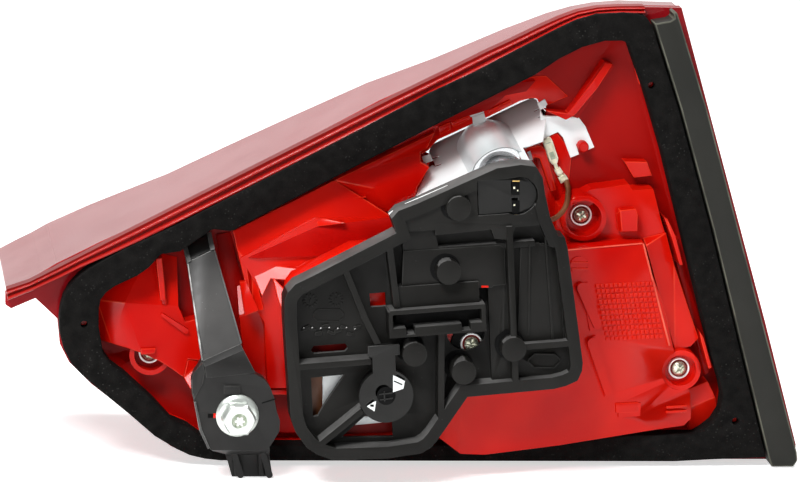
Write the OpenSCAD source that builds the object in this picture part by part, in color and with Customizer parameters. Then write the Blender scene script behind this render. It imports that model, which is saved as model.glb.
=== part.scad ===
// Reversing light: inner tail lamp with its bulb carrier, seen from the mounting side.
// X runs along the lamp, Z is up, Y points into the lamp towards its lens.
// The origin is on the clamp bolt's axis, in the plane where the foam gasket meets the car body.

/* [Overall] */
// length of the lamp from the lens tip to the far end of the trim
lamp_length = 270; // [240:1:300]
// height of the lamp at its tall end
lamp_height = 155; // [140:1:170]
// how far the deepest part of the lens stands from the body panel
lens_depth = 78; // [70:1:90]
// how far the lens stands out at its shallow end
lens_end_depth = 21.5; // [21:0.5:25]

/* [Walls] */
// thickness of the lens wall
lens_wall = 2.4; // [2:0.1:3]
// thickness of the housing wall
housing_wall = 2.4; // [2:0.1:2.6]
// thickness of the foam gasket
gasket_t = 8; // [6:0.5:9]
// thickness of the housing flange under the gasket
flange_t = 3; // [2.5:0.1:3.5]
// general play between moulded pieces
fit_gap = 0.3; // [0.2:0.05:0.4]

/* [Fasteners] */
// shank diameter of the four screws
screw_d = 4; // [3.5:0.1:4.5]
// head diameter of the four screws
screw_head_d = 7.6; // [7:0.1:8]
// shank length of the four screws
screw_len = 11; // [9:0.5:12]
// thread diameter of the clamp bolt
bolt_d = 6; // [5:0.5:7]
// length of the clamp bolt under its flange
bolt_len = 20; // [18:1:24]
// diameter of the clamp bolt's flange
bolt_flange_d = 14.2; // [13:0.1:15.5]
// size across the flats of the clamp bolt
bolt_af = 10; // [9:0.5:11]

/* [Bracket] */
// thickness of the clamp bracket
bracket_t = 3; // [2.5:0.1:3.5]
// how far the bracket's foot stands off the gasket face
foot_stand = 10; // [8:0.5:12]

/* [Bulb carrier] */
// depth of the carrier's rim
carrier_rim_h = 10; // [9:0.5:11]
// width of the carrier's rim face
carrier_rim_w = 4; // [3:0.1:5]
// thickness of the carrier's plate
carrier_plate_t = 2; // [1.6:0.1:2.4]
// how far the carrier's rim face stands off the gasket face
carrier_stand = 28; // [26:0.5:30]
// thickness of the carrier's ribs
rib_t = 2; // [1.6:0.1:2.4]
// diameter of the round bosses on the carrier
boss_d = 8.2; // [7:0.1:9]
// width of the plug slot
plug_w = 29.5; // [27:0.5:31]
// height of the plug slot
plug_h = 4.6; // [4.2:0.1:5]

/* [Bulbs] */
// glass diameter of the reversing bulb
rev_bulb_d = 15.6; // [14:0.1:16]
// length of the reversing bulb's glass
rev_bulb_len = 27; // [24:0.5:28]
// glass diameter of the tail bulb
tail_bulb_d = 18; // [16:0.5:20]
// length of the tail bulb's glass
tail_bulb_len = 32; // [28:0.5:34]

/* [Metal] */
// thickness of the heat shield's sheet
sheet_t = 0.8; // [0.6:0.05:1]
// thickness of the contact strips
strip_t = 0.8; // [0.6:0.05:0.9]
// diameter of the earth lead over its cover
lead_d = 1.8; // [1.4:0.1:2]

/* [Hidden] */
$fn = 48;
// lengths along X and Z follow the two overall sizes
kx = lamp_length / 270;
kz = lamp_height / 155;
flange_y = gasket_t;
floor_y = flange_y + 6;
inner_y = floor_y + housing_wall;
rim_y = -carrier_stand;
seat_y = rim_y + carrier_rim_h;
// the carrier stands a little turned against the gasket's straight lower edge
carrier_turn = 4.8;
tail_at = [48.2, 8.8];
rev_at = [89.2, 76];
screw_1_at = [116.8, 62.8];
screw_2_at = [152.4, 10.6];
screw_3_at = [77.3, 24.4];
screw_4_at = [-27, 13.6];

lens_outline = [[-75, 33.5], [-63.5, 39.8], [-58.5, 43], [-44, 50.5], [-18, 62.8], [48, 99.6],
  [70, 110], [92, 121.3], [106, 127.6], [113.5, 130.2], [120.5, 131.9], [129.5, 133],
  [147.5, 133], [158, 100.8], [182, 25.3], [195, -17.5], [195, -22], [-3, -22], [-9, -21.4],
  [-14, -20.2], [-19, -17.8], [-24, -14], [-35, -5], [-46, 3.6], [-53.5, 11], [-56.6, 17],
  [-57.6, 25.8], [-65.5, 33.2], [-73.6, 29.6], [-75, 30.6]];
seat_outline = [[183.6, -19.8], [165, -20.6], [152, -21.3], [-3, -21.2], [-8.3, -20.6],
  [-13.4, -19.4], [-18, -17.2], [-25.3, -12.8], [-34.3, -5], [-45.5, 4.2], [-50.2, 8.3],
  [-54, 12.4], [-56.4, 17.2], [-57.6, 21.5], [-58, 27], [-57.6, 31], [-56.7, 34.6],
  [-55, 38], [-52, 41.5], [-48.5, 44.5], [-44, 47.2], [-36.5, 51.4], [-25, 57], [-19, 60],
  [46.5, 96], [63, 105], [77, 112], [94.5, 121.6], [105.5, 127.6], [111.2, 130.4],
  [118, 132.4], [127, 133], [132, 132.6], [134.8, 131.3], [136.7, 128.8], [147.2, 100.4],
  [160.3, 59.5], [172.5, 18.3]];
seat_opening = [[127.3, 123.5], [121, 123.4], [113.6, 121.2], [106, 117.2], [98, 111.6],
  [85, 104.7], [62, 92.5], [25, 72], [-1.5, 57.6], [-8, 58.2], [-18.5, 50.6], [-24.8, 49.6],
  [-28.8, 45], [-32.4, 42.3], [-39.9, 38.6], [-42.8, 36.4], [-44.5, 34], [-45, 30.8],
  [-44.9, 24.8], [-43.3, 15.8], [-40.6, 12], [-35.9, 8.6], [-26.3, -0.2], [-20, -7],
  [-14.3, -9.4], [-9.9, -12.6], [-4, -15], [4, -15.8], [112, -15.6], [128, -13], [137, -12],
  [158.5, -12], [161.2, -10.4], [164.6, -7.6], [167, -3], [167.4, 1.8], [166.4, 6.2],
  [163.2, 15], [157.3, 35.3], [150.3, 59.4], [142.4, 85.7], [135.4, 106.4], [130.6, 118.2],
  [129.2, 121.9]];
lens_plan = [[-76, 77.5], [-68, 77.6], [-56, 75.6], [-40, 72.4], [-24, 68.8], [-8, 64.8],
  [8, 60.4], [24, 55.4], [40, 49.8], [54, 44.8], [68, 40], [82, 35.8], [96, 32], [110, 28.8],
  [124, 26.2], [138, 24.2], [154, 22.6]];
carrier_outline = [[-32.2, 28], [-31.8, 35], [-30.6, 37.4], [-28, 40], [-23, 42], [6, 54.6],
  [4.6, 59.6], [7, 62], [14, 64.2], [40, 73.8], [48, 74.4], [53, 73.4], [55, 69.5],
  [55.6, 64], [57, 56], [59.4, 49.6], [61.6, 49], [62.4, 45], [66, 6], [65.6, 3.2],
  [64, 0], [60, -1.5], [56, -2.2], [27, -2.6], [16.2, -16.8], [14, -19], [10.8, -20.6],
  [0, -21.4], [-18.2, -20.6], [-23.5, -18.3], [-27, -15.6], [-30.4, -10.2], [-31.8, -5]];
box_outline = [[62, -8], [67.8, -8.2], [75.6, -14], [84.2, -14.8], [110.5, -13.1], [144, -9.7],
  [154.6, -8.8], [157, -6.6], [156.4, 2], [149.4, 18.4], [145, 33.6], [140, 45.4],
  [137, 55.4], [110.2, 54], [84, 51], [62, 49]];

function plan(pts) = [for (p = pts) [p[0] * kx, p[1] * kz]];
function at(p) = [p[0] * kx, 0, p[1] * kz];
function plan_y(y) = lens_end_depth + (y - 21.5) * (lens_depth - lens_end_depth) / 56.5;

// a flat shape in X and Z, drawn out from y0 to y1
module slab(y0, y1) {
  translate([0, y1, 0])
    rotate([90, 0, 0])
      linear_extrude(height = y1 - y0)
        children();
}

// a round piece whose axis runs along Y, from y0 to y1
module round_y(p, d, y0, y1, d2 = -1) {
  translate([p[0], y0, p[1]])
    rotate([-90, 0, 0])
      cylinder(h = y1 - y0, d1 = d, d2 = d2 < 0 ? d : d2);
}

module carrier_frame() {
  translate([tail_at[0] * kx, 0, tail_at[1] * kz])
    rotate([0, -carrier_turn, 0])
      children();
}

// the space behind the lens's outer face, less g
module under_lens(g) {
  translate([0, 0, -60])
    linear_extrude(height = 260)
      polygon(concat(
        [[-90 * kx, 0]],
        [[-90 * kx, plan_y(73) - g]],
        [for (p = lens_plan) [p[0] * kx, plan_y(p[1]) - g]],
        [[210 * kx, plan_y(21.4) - g], [210 * kx, 0]]));
}

module cavity_2d(g) {
  offset(delta = -g)
    polygon(plan(lens_outline));
}

module outer_lens() {
  color([0.72, 0.05, 0.06])
    difference() {
      union() {
        intersection() {
          slab(flange_y, 130)
            polygon(plan(lens_outline));
          under_lens(0);
        }
        slab(flange_y + 3.4, flange_y + 5)
          offset(delta = 0.6)
            polygon(plan(lens_outline));
        slab(flange_y + 0.4, flange_y + 2.2)
          offset(delta = 0.6)
            polygon(plan(lens_outline));
      }
      intersection() {
        slab(flange_y - 1, 130)
          cavity_2d(lens_wall);
        under_lens(lens_wall);
        slab(flange_y + flange_t, 130)
          polygon(plan(seat_outline));
      }
      slab(flange_y - 1, flange_y + flange_t)
        offset(delta = 0.1)
          flange_2d();
      lens_window();
    }
}

// the flange of the housing, flush with the gasket's outer edge
module flange_2d() {
  intersection() {
    offset(delta = -0.2)
      polygon(plan(seat_outline));
    cavity_2d(1.4);
  }
}

// the clear part of the lens in front of the reversing bulb
module lens_window() {
  intersection() {
    difference() {
      slab(20, 130)
        polygon(plan([[58, 58], [128, 58], [128, 84], [112, 104], [86, 104], [58, 90]]));
      under_lens(lens_wall);
    }
    under_lens(0);
  }
}

module reversing_window() {
  color([0.9, 0.92, 0.94, 0.6])
    lens_window();
}

pin_at = [[-49.8, 25.6], [137.4, 108.6], [172.2, -7]];

module foam_gasket() {
  color([0.09, 0.09, 0.09])
    difference() {
      slab(0, gasket_t)
        polygon(plan(seat_outline));
      slab(-1, gasket_t + 1)
        polygon(plan(seat_opening));
      for (p = pin_at)
        round_y(plan([p])[0], 2.4, -1, gasket_t + 1);
    }
}

module tray_2d(g) {
  offset(delta = g)
    polygon(plan(seat_opening));
}

// everything on the lens side of the lamp box's rear face, which slants in towards the trim
module box_side(g) {
  translate([75 * kx, g + seat_y + 1, -80])
    rotate([0, 0, 12.7])
      cube([200, 150, 300]);
  translate([-100, g + seat_y + 1, -80])
    cube([75 * kx + 100, 150, 300]);
}

module box_solid(g, y1) {
  intersection() {
    slab(-40, y1)
      offset(delta = -g)
        polygon(plan(box_outline));
    box_side(g);
  }
}

module collar_2d(g) {
  offset(delta = -g)
    polygon(plan(carrier_outline));
}

// the wall that the carrier seats on stops below the reversing bulb, at the heat shield
module collar() {
  carrier_frame()
    slab(seat_y, inner_y - housing_wall / 2)
      intersection() {
        difference() {
          collar_2d(3);
          collar_2d(3 + housing_wall);
        }
        translate([-60 * kx, -60 * kz])
          square([160 * kx, 106 * kz]);
      }
}

// where the lamp box closes the collar
module collar_floor_2d() {
  translate([17 * kx, -5 * kz])
    square([60 * kx, 52 * kz]);
}

module shield_hole_2d() {
  polygon(plan([[60, 86], [64.5, 80], [58, 70], [54, 66], [58, 60], [104.8, 60],
    [104.8, 98], [101, 101.5], [96, 102.5], [84, 97.5], [70, 91.5]]));
}

// raised steps of the housing, as rear level and outline
steps = [
  [10, [[-1, 55.4], [7.4, 28.8], [8.6, 20], [9.4, -8], [15, -14], [26, -14], [30, 40],
    [56, 61], [50, 69], [32, 66.5], [24, 66]]],
  [4, [[2.2, 47.8], [9.6, 35], [8.4, 29], [10.6, 26], [12.6, 3], [22, 3], [24, 20], [34, 40],
    [56, 55], [54, 61.4], [26.7, 61.6]]],
  [5, [[107, 54], [109, 66], [119.8, 72], [132.4, 73.8], [133.6, 71.8], [140.8, 72.2],
    [143.8, 62], [147.4, 52], [136, 50]]],
  [9, [[111, 96.6], [114.6, 95.4], [126, 113.4], [122.6, 115]]],
  [10, [[149.6, 47], [151, 54.6], [153.4, 45], [166, 9], [163, 6.6], [156, 30], [151, 46]]],
  [11, [[66.4, 91.6], [71.4, 93.4], [84.9, 97.6], [90.1, 102.6], [97, 104], [100, 107.6],
    [88, 106.6], [64, 95]]],
  [10.5, [[30, 66], [44, 68.4], [60, 71.6], [63, 79], [60, 82], [40, 74], [29, 68.6]]]];

module step_2d(i, g) {
  offset(delta = -g)
    polygon(plan(steps[i][1]));
}

module step_solid(i, g) {
  slab(steps[i][0] + g, inner_y + (g > 0 ? 1 : 0))
    step_2d(i, g);
}

// rear edge, head seat and outer diameter of each screw cup
cups = [[screw_1_at, 1, 7.5, 15.4], [screw_2_at, 0.5, 4.5, 14], [screw_3_at, -14.5, -10, 14],
  [screw_4_at, 7, 11, 14]];

module screw_cup(c) {
  p = plan([c[0]])[0];
  difference() {
    round_y(p, c[3], c[1], inner_y);
    round_y(p, c[3] - 3.2, c[1] - 1, c[2]);
    round_y(p, screw_d + fit_gap, c[2] - 1, inner_y);
    round_y(p, c[3] - 3.2, c[2] + housing_wall, inner_y + 1);
  }
}

module housing_shell() {
  difference() {
    union() {
      slab(flange_y, flange_y + flange_t)
        difference() {
          flange_2d();
          tray_2d(1);
        }
      slab(flange_y, inner_y)
        difference() {
          tray_2d(1 + housing_wall);
          tray_2d(1);
        }
      slab(floor_y, inner_y)
        tray_2d(1.5);
      box_solid(0, inner_y);
      carrier_frame()
        slab(seat_y, seat_y + 3)
          intersection() {
            collar_2d(3.6);
            collar_floor_2d();
          }
      for (i = [0:len(steps) - 1])
        step_solid(i, 0);
      box_marks();
      round_y([0, 0], 18, -8, inner_y);
      left_ribs();
    }
    box_solid(housing_wall, inner_y + 1);
    carrier_frame()
      slab(seat_y - 1, inner_y + 1)
        difference() {
          collar_2d(3.5 + housing_wall / 2);
          collar_floor_2d();
        }
    difference() {
      union() {
        step_solid(0, housing_wall);
        step_solid(1, housing_wall);
        step_solid(2, housing_wall);
      }
      round_y([0, 0], 18, -8, inner_y + 2);
    }
    slab(-2, inner_y + 1)
      shield_hole_2d();
    round_y([0, 0], bolt_d + 4, -20, 12.5);
    for (c = cups)
      round_y(plan([c[0]])[0], c[3] - 0.6, min(c[1], seat_y) - 1, inner_y + 1);
  }
}

module housing() {
  color([0.86, 0.06, 0.03])
    union() {
      housing_shell();
      difference() {
        collar();
        for (c = cups)
          round_y(plan([c[0]])[0], c[3] - 0.6, c[1] - 1, inner_y + 1);
      }
      for (c = cups)
        screw_cup(c);
      for (p = pin_at)
        round_y(plan([p])[0], 2, flange_y - 5, flange_y + 0.5);
      round_y(plan([[117, 85.8]])[0], 3, floor_y - 3, floor_y + 0.5);
    }
}

module left_ribs() {
  slab(7, inner_y)
    polygon(plan([[-25.6, 47], [-24, 47], [-21.8, 31], [-23.4, 31]]));
  slab(11, inner_y)
    polygon(plan([[-43.6, 31], [-36, 29.6], [-22, 27.6], [-16.4, 27.6], [-14.8, 20.6], [-16, 4],
      [-33.4, 13.4], [-43.4, 17.6]]));
  slab(9, inner_y)
    polygon(plan([[-24, 27.4], [-22.6, 28.6], [-14.4, 21.6], [-15.6, 20]]));
}

// low marks on the lamp box's slanted face
module box_marks() {
  translate([75 * kx, seat_y + 1, 0])
    rotate([0, 0, 12.7])
      slab(-0.7, 0.5) {
        bar_2d([42.6 * kx, 41.6 * kz], [46 * kx, 27.6 * kz], 2.4);
        bar_2d([46.4 * kx, 23 * kz], [52.4 * kx, 4.6 * kz], 2.4);
        translate([57 * kx, -4.4 * kz])
          square([8, 4.6]);
      }
}

module side_trim() {
  color([0.25, 0.25, 0.25])
    slab(-1, flange_y)
      polygon(plan([[137.2, 129.6], [147.6, 101], [160.8, 59.9], [173, 18.6], [184.2, -19.5],
        [185.4, -22.8], [193.1, -22.8], [194.4, -20.6], [194, -17.8], [180.7, 25],
        [156.6, 100.5], [144.6, 133.6], [143.4, 133.4], [143.8, 131.5], [142.5, 130.6]]));
}

// side view of the clamp bracket, as Y and Z pairs of its rear line
bracket_line = [[floor_y - bracket_t, 56.6], [floor_y - bracket_t, 52], [2, 46],
  [-foot_stand - 7, 20], [-foot_stand - 10, 14], [-foot_stand - 10, -12],
  [-foot_stand - 3, -15.5], [-foot_stand - 3, -23]];

module bracket_side() {
  t = bracket_t;
  translate([-60, 0, 0])
    rotate([90, 0, 90])
      linear_extrude(height = 120)
        polygon(concat(
          [for (p = bracket_line) [p[0], p[1] * kz]],
          [for (i = [len(bracket_line) - 1:-1:0])
            [bracket_line[i][0] + t, (bracket_line[i][1] - (i > 1 && i < 5 ? 1.5 : 0)) * kz]]));
}

module mounting_bracket() {
  color([0.16, 0.16, 0.16])
    difference() {
      union() {
        intersection() {
          bracket_side();
          slab(-60, 40)
            polygon(plan([[-17, 51], [-8.6, 57], [-6.4, 46], [1, 22], [2.7, 16.4], [5, 14.3],
              [8.5, 12.3], [10.6, 9.6], [12, 6.2], [13.2, 1], [14.3, -2], [14.2, -5.4],
              [12.8, -8], [11, -11], [11.6, -14.4], [13.2, -23], [-0.4, -23], [-2.8, -15],
              [-7.7, -12.6], [-9.7, -10.6], [-12.2, -5.5], [-13.3, 1], [-15, 6.8],
              [-15.3, 12], [-14.4, 14.6], [-12.1, 18], [-15.6, 44]]));
        }
        slab(-foot_stand - 9, -foot_stand - 5)
          difference() {
            bracket_pad_2d(0);
            bracket_pad_2d(1.8);
          }
        for (x = [1.4, 9.4])
          translate([x * kx, -foot_stand - 3, -22.4 * kz])
            rotate([0, x > 5 ? -4 : -8, 0])
              cylinder(h = 9, d = 2.2);
        translate([-4.6 * kx, bolt_seat - 1.2, bolt_flange_d / 2 + 0.3])
          cube([5.2, 2.4, 2.6]);
      }
      round_y([0, 0], bolt_d + 0.6, -40, 0);
    }
}

module bracket_pad_2d(g) {
  offset(delta = -g)
    polygon(plan([[1.4, 17.6], [5, 14.3], [8.5, 12.3], [10.6, 9.6], [12, 6.2], [13.2, 1],
      [14.3, -2], [14.2, -5.4], [12.8, -8], [11, -11], [-4, -12], [-7.7, -11.6], [-9.7, -10],
      [-12.2, -5.5], [-13.3, 1], [-15, 6.8], [-15.3, 12], [-14.4, 14.6], [-12.1, 17.6]]));
}

bolt_seat = -foot_stand - 10;

module flange_bolt() {
  color([0.78, 0.8, 0.83])
    difference() {
      union() {
        round_y([0, 0], bolt_flange_d, bolt_seat - 2, bolt_seat);
        round_y([0, 0], bolt_flange_d - 1.4, bolt_seat - 2.8, bolt_seat - 1.9);
        translate([0, bolt_seat - 8, 0])
          rotate([-90, 0, 0])
            rotate([0, 0, 8])
              cylinder(h = 6.2, d = bolt_af / cos(30), $fn = 6);
        round_y([0, 0], bolt_d, bolt_seat - 1, bolt_seat + bolt_len);
      }
      round_y([0, 0], bolt_d * 0.9, bolt_seat - 9, bolt_seat - 4.5);
    }
}

module threaded_insert() {
  color([0.78, 0.62, 0.3])
    difference() {
      round_y([0, 0], bolt_d + 4, -8, 6);
      round_y([0, 0], bolt_d + 0.1, -9, 7);
    }
}

module screw(c) {
  p = plan([c[0]])[0];
  color([0.75, 0.76, 0.78])
    difference() {
      union() {
        round_y(p, screw_head_d, c[2] - 1.1, c[2]);
        round_y(p, screw_head_d - 2.2, c[2] - 2.6, c[2] - 1);
        round_y(p, screw_d, c[2] - 1, c[2] + screw_len - 1);
        round_y(p, screw_d, c[2] + screw_len - 1, c[2] + screw_len, screw_d / 2);
      }
      for (a = [45, 135])
        translate([p[0], c[2] - 2.7, p[1]])
          rotate([0, a, 0])
            translate([-1.9, 0, -0.45])
              cube([3.8, 1.5, 0.9]);
    }
}

module screw_1() {
  screw(cups[0]);
}

module screw_2() {
  screw(cups[1]);
}

module screw_3() {
  screw(cups[2]);
}

module screw_4() {
  screw(cups[3]);
}

plate_y = rim_y + carrier_rim_h - 3;

// a straight bar in the carrier's own X and Z, w wide
module bar_2d(a, b, w) {
  l = norm([b[0] - a[0], b[1] - a[1]]);
  translate([a[0], a[1]])
    rotate(atan2(b[1] - a[1], b[0] - a[0]))
      translate([-w / 2, -w / 2])
        square([l + w, w]);
}

function cp(p) = [p[0] * kx, p[1] * kz];

module carrier_ribs_2d() {
  for (r = [[[-29, 12], [-4, 12]], [[-11.8, 44.5], [-5.6, 26.4]], [[-5.6, 26.4], [-2, 18]],
    [[3.6, 50], [5, 30.5]], [[-23.5, -15.6], [-6.8, -3.6]], [[19.4, 21], [18, -8]],
    [[43.4, 53], [43.3, 1.5]], [[44, 12.9], [62, 12.9]]])
    bar_2d(cp(r[0]), cp(r[1]), rib_t);
}

// the zone round the reversing bulb's holder, above the deep recess
module carrier_top_2d() {
  polygon([for (p = [[5, 54.4], [19, 54.4], [18.7, 52.6], [37.5, 53.2], [38.4, 50], [44, 49.2],
    [45.4, 53.4], [58, 53.4], [58, 78], [4, 78]]) cp(p)]);
}

module carrier_windows_2d() {
  polygon([for (p = [[-3, 28.6], [2.3, 28.6], [2.3, 33.3], [-3, 33.3]]) cp(p)]);
  polygon([for (p = [[-22.4, 14.3], [-12, 14.3], [-11, 15.6], [-12, 17], [-22.4, 17],
    [-23.4, 15.6]]) cp(p)]);
  polygon([for (p = [[-23.8, 6.2], [-12.5, 6.5], [-19.9, -3.3], [-22.1, -6.9], [-23.8, -7.1]])
    cp(p)]);
  polygon([for (p = [[-9.3, -10.4], [-6.5, -8.2], [2.5, -8.9], [2.5, -16.1], [-14.8, -14.9]])
    cp(p)]);
}

module bulb_carrier() {
  color([0.18, 0.18, 0.17])
    carrier_frame()
      difference() {
        union() {
          slab(rim_y, seat_y)
            difference() {
              collar_2d(0);
              collar_2d(carrier_rim_w);
            }
          slab(plate_y, plate_y + carrier_plate_t)
            collar_2d(1);
          slab(rim_y, plate_y + 0.5)
            intersection() {
              collar_2d(1);
              carrier_ribs_2d();
            }
          for (p = [[26.7, 61.6], [22.5, 40.5], [10, 13.7], [26, 6.3], [42.9, 12.8]])
            round_y(cp(p), boss_d, rim_y - 2, plate_y + 0.5);
          plug_frame();
          slab(rim_y + 4, plate_y + 0.5)
            intersection() {
              collar_2d(1);
              translate([36 * kx, -10 * kz])
                square([40 * kx, 56 * kz]);
            }
          slab(rim_y + 1.2, plate_y + 0.5)
            intersection() {
              collar_2d(1);
              carrier_top_2d();
            }
          slab(rim_y + 3, plate_y + 0.5)
            intersection() {
              collar_2d(1);
              polygon([for (p = [[8.4, 46], [52, 46], [52, 48], [20, 48], [19, 54], [8, 54]])
                cp(p)]);
            }
        }
        slab(rim_y - 4, seat_y + 1)
          carrier_windows_2d();
        difference() {
          round_y(cp([28.4, 17.8]), 12.6, rim_y - 4, seat_y + 1);
          plug_block(rim_y - 5, seat_y + 2);
        }
        round_y([0, 0], 15.8 + fit_gap, rim_y - 4, seat_y + 1);
        slab(rim_y - 4, rim_y + 2.2)
          offset(delta = fit_gap)
            tail_holder_2d();
        slab(rim_y - 4, plate_y - 1.2)
          offset(delta = fit_gap)
            translate([holder_at[0] * kx, holder_at[1] * kz])
              holder_2d();
        holder_slot();
        plug_slot();
      }
}

plug_at = [3.2, 23];

module plug_block(y0, y1) {
  translate([(plug_at[0] - 1.3) * kx, y0, (plug_at[1] - 3.2) * kz])
    cube([plug_w + 2.6, y1 - y0, plug_h + 4.6]);
}

module plug_frame() {
  plug_block(rim_y - 2, plate_y + 0.5);
  slab(rim_y + 1.5, plate_y + 0.5)
    translate([5.6 * kx, plug_at[1] * kz + plug_h + 1])
      square([27, 7.4]);
}

module plug_slot() {
  translate([plug_at[0] * kx, rim_y - 5, plug_at[1] * kz])
    cube([plug_w, plate_y - rim_y + 5, plug_h]);
  for (x = [4.2, plug_w - 6.8])
    translate([plug_at[0] * kx + x, rim_y - 5, plug_at[1] * kz - 2.4])
      cube([3, plate_y - rim_y + 5, 3]);
  for (x = blade_at)
    translate([plug_at[0] * kx + x - 1.6, plate_y - 1, plug_at[1] * kz + plug_h / 2 - strip_t / 2 - 0.2])
      cube([3.2, 6, strip_t + 0.4]);
}

blade_at = [5, 14, 23];
// how far a blade stands into the plug slot
blade_l = carrier_rim_h - 6.5;
holder_at = [46.5, 63.7];

module holder_slot() {
  round_y(cp(holder_at), 12.4 + fit_gap, rim_y - 4, seat_y + 1);
}

module reversing_bulb_holder() {
  color([0.13, 0.13, 0.13])
    carrier_frame()
      difference() {
        translate([holder_at[0] * kx, 0, holder_at[1] * kz])
          union() {
            slab(plate_y - 5, plate_y - 1.2)
              holder_2d();
            round_y([0, 0], 12.4, plate_y - 3, plate_y + 11);
          }
        translate([holder_at[0] * kx, 0, holder_at[1] * kz]) {
          for (z = [0.6, -5])
            translate([-1.8, plate_y - 6, z])
              cube([2.2, 3, 4.4]);
          translate([-4.6, plate_y + 3, -1.5])
            cube([9.2, 9, 3]);
        }
      }
}

module holder_2d() {
  translate([-12.9, -5.4])
    square([13, 11.4]);
  translate([0.6, 0.2])
    circle(d = 11.8);
}

module tail_bulb_holder() {
  color([0.14, 0.14, 0.14])
    carrier_frame()
      difference() {
        union() {
          slab(rim_y - 0.5, rim_y + 1.8)
            tail_holder_2d();
          round_y([0, 0], 15.8, rim_y + 1.5, plate_y + 13);
        }
        round_y([-0.9, 1.4], 5.2, rim_y - 2, rim_y + 4);
        slab(rim_y - 2, rim_y + 1.2)
          polygon([[2.6, 5.6], [4, 7.2], [6.6, 5.3], [3.1, 1.5]]);
        slab(rim_y - 2, rim_y + 1.2)
          polygon([[-6.8, -2.5], [-4.4, -0.7], [-3.4, -2.1], [-4.2, -4.8]]);
        round_y([0, 0], 11.4, plate_y + 5, plate_y + 14);
      }
}

module tail_holder_2d() {
  circle(d = 18);
  translate([-4, 6])
    square([7.6, 9]);
  translate([-5.3, 13.6])
    square([10.6, 3.8]);
}

module bulb(p, y0, d, l, wedge) {
  round_y(p, d, y0 + 3, y0 + l - d / 2);
  round_y(p, d * 0.55, y0 + 0.5, y0 + 3, d);
  intersection() {
    translate([p[0], y0 + l - d / 2, p[1]])
      sphere(d = d);
    round_y(p, d + 2, y0 + l - d / 2 - 1, y0 + l + 1);
  }
  translate([p[0] - wedge / 2, y0 - 6, p[1] - 1.2])
    cube([wedge, 8, 2.4]);
}

module reversing_bulb() {
  color([0.9, 0.93, 0.96, 0.5])
    carrier_frame()
      bulb(cp(holder_at), plate_y + 10.6, rev_bulb_d, rev_bulb_len, 8.6);
}

module tail_bulb() {
  color([0.9, 0.93, 0.96, 0.5])
    carrier_frame()
      union() {
        round_y([0, 0], 11, plate_y + 5.4, plate_y + 17);
        round_y([0, 0], tail_bulb_d, plate_y + 17, plate_y + 8 + tail_bulb_len - tail_bulb_d / 2);
        intersection() {
          translate([0, plate_y + 8 + tail_bulb_len - tail_bulb_d / 2, 0])
            sphere(d = tail_bulb_d);
          round_y([0, 0], 30, plate_y + 8 + tail_bulb_len - tail_bulb_d / 2 - 1, 60);
        }
      }
}

// a contact strip lying on the lens side of the carrier's plate, with its blade in the plug slot
module strip(pts, x) {
  carrier_frame()
    union() {
      slab(plate_y + carrier_plate_t, plate_y + carrier_plate_t + strip_t)
        for (i = [0:len(pts) - 2])
          bar_2d(pts[i], pts[i + 1], 3);
      translate([plug_at[0] * kx + x - 1.4, plate_y - blade_l,
        plug_at[1] * kz + plug_h / 2 - strip_t / 2])
        cube([2.8, blade_l + carrier_plate_t + 0.5, strip_t]);
    }
}

blade_z = plug_at[1] * kz + plug_h / 2;
function blade_x(i) = plug_at[0] * kx + blade_at[i];

module earth_strip() {
  color([0.8, 0.66, 0.34])
    strip([cp([9.6, 3]), [blade_x(0), 14], [blade_x(0), blade_z], cp([8.2, 48]), cp([30, 58]),
      cp([37.6, 61])], blade_at[0]);
}

module reversing_strip() {
  color([0.8, 0.66, 0.34])
    strip([[blade_x(2), blade_z], cp([26.2, 46]), cp([44, 50]), cp([48, 55])], blade_at[2]);
}

module tail_strip() {
  color([0.8, 0.66, 0.34])
    strip([[blade_x(1), blade_z], cp([16, 10]), cp([14, -6]), cp([8, -8])], blade_at[1]);
}

// the heat shield's own axes: X along its top edge, Y up its slope
module shield_frame() {
  translate([88.1 * kx, 6, 78.1 * kz])
    rotate([0, -26.4, 0])
      rotate([36, 0, 0])
        children();
}

// outer diameter of the shield's dome, which clears the bulb's glass
dome_d = rev_bulb_d + 2 * sheet_t + 0.6;

// the dome over the bulb: half round, with a ball end at its top
module dome(d) {
  translate([0, -1, 0])
    rotate([-90, 0, 0])
      cylinder(h = 14, d = d);
  translate([0, 13, 0])
    sphere(d = d);
}

module heat_shield() {
  color([0.8, 0.82, 0.84])
    union() {
      shield_frame()
        difference() {
          union() {
            translate([0, 0, 1])
              linear_extrude(height = sheet_t)
                polygon([[-13.6, 22], [-17.6, 18.5], [-18.1, 15.4], [-18.2, 12], [-19.6, 11.4],
                  [-29.1, 4.1], [-29.5, 1.5], [-36.6, 1], [-33, -3.4], [-8, -5.6], [13, -5.6],
                  [13, 8], [15.4, 12], [19.4, 14], [20.6, 17], [17.2, 22]]);
            dome(dome_d);
            translate([-19.6, 14.6, 1])
              cube([3, 3, sheet_t]);
            translate([-0.2, 21, 1])
              cube([6, 3, sheet_t]);
          }
          dome(dome_d - 2 * sheet_t);
          translate([-40, -20, -20])
            cube([80, 60, 21]);
          translate([-8.4, -8, 0])
            cube([22, 8, 20]);
          translate([-20.4, 0.4, 0])
            cube([3, 3, 4]);
          translate([-13.4, 0.2, 0])
            cube([4, 4.4, 4]);
        }
      slab(floor_y - sheet_t, floor_y)
        difference() {
          polygon(plan([[101.8, 98.8], [103.8, 95.3], [111.7, 95.3], [115.4, 95],
            [117.6, 92.3], [121.4, 84.8], [114.1, 80.9], [109.9, 88.9], [105.9, 88.4],
            [101, 88.4], [99.8, 92], [99.6, 98.4]]));
          translate([117 * kx, 85.8 * kz])
            circle(d = 3.6);
        }
      slab(floor_y - sheet_t, 19)
        polygon(plan([[99.8, 89], [100.7, 89], [100.7, 98.6], [99.8, 98]]));
    }
}

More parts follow.
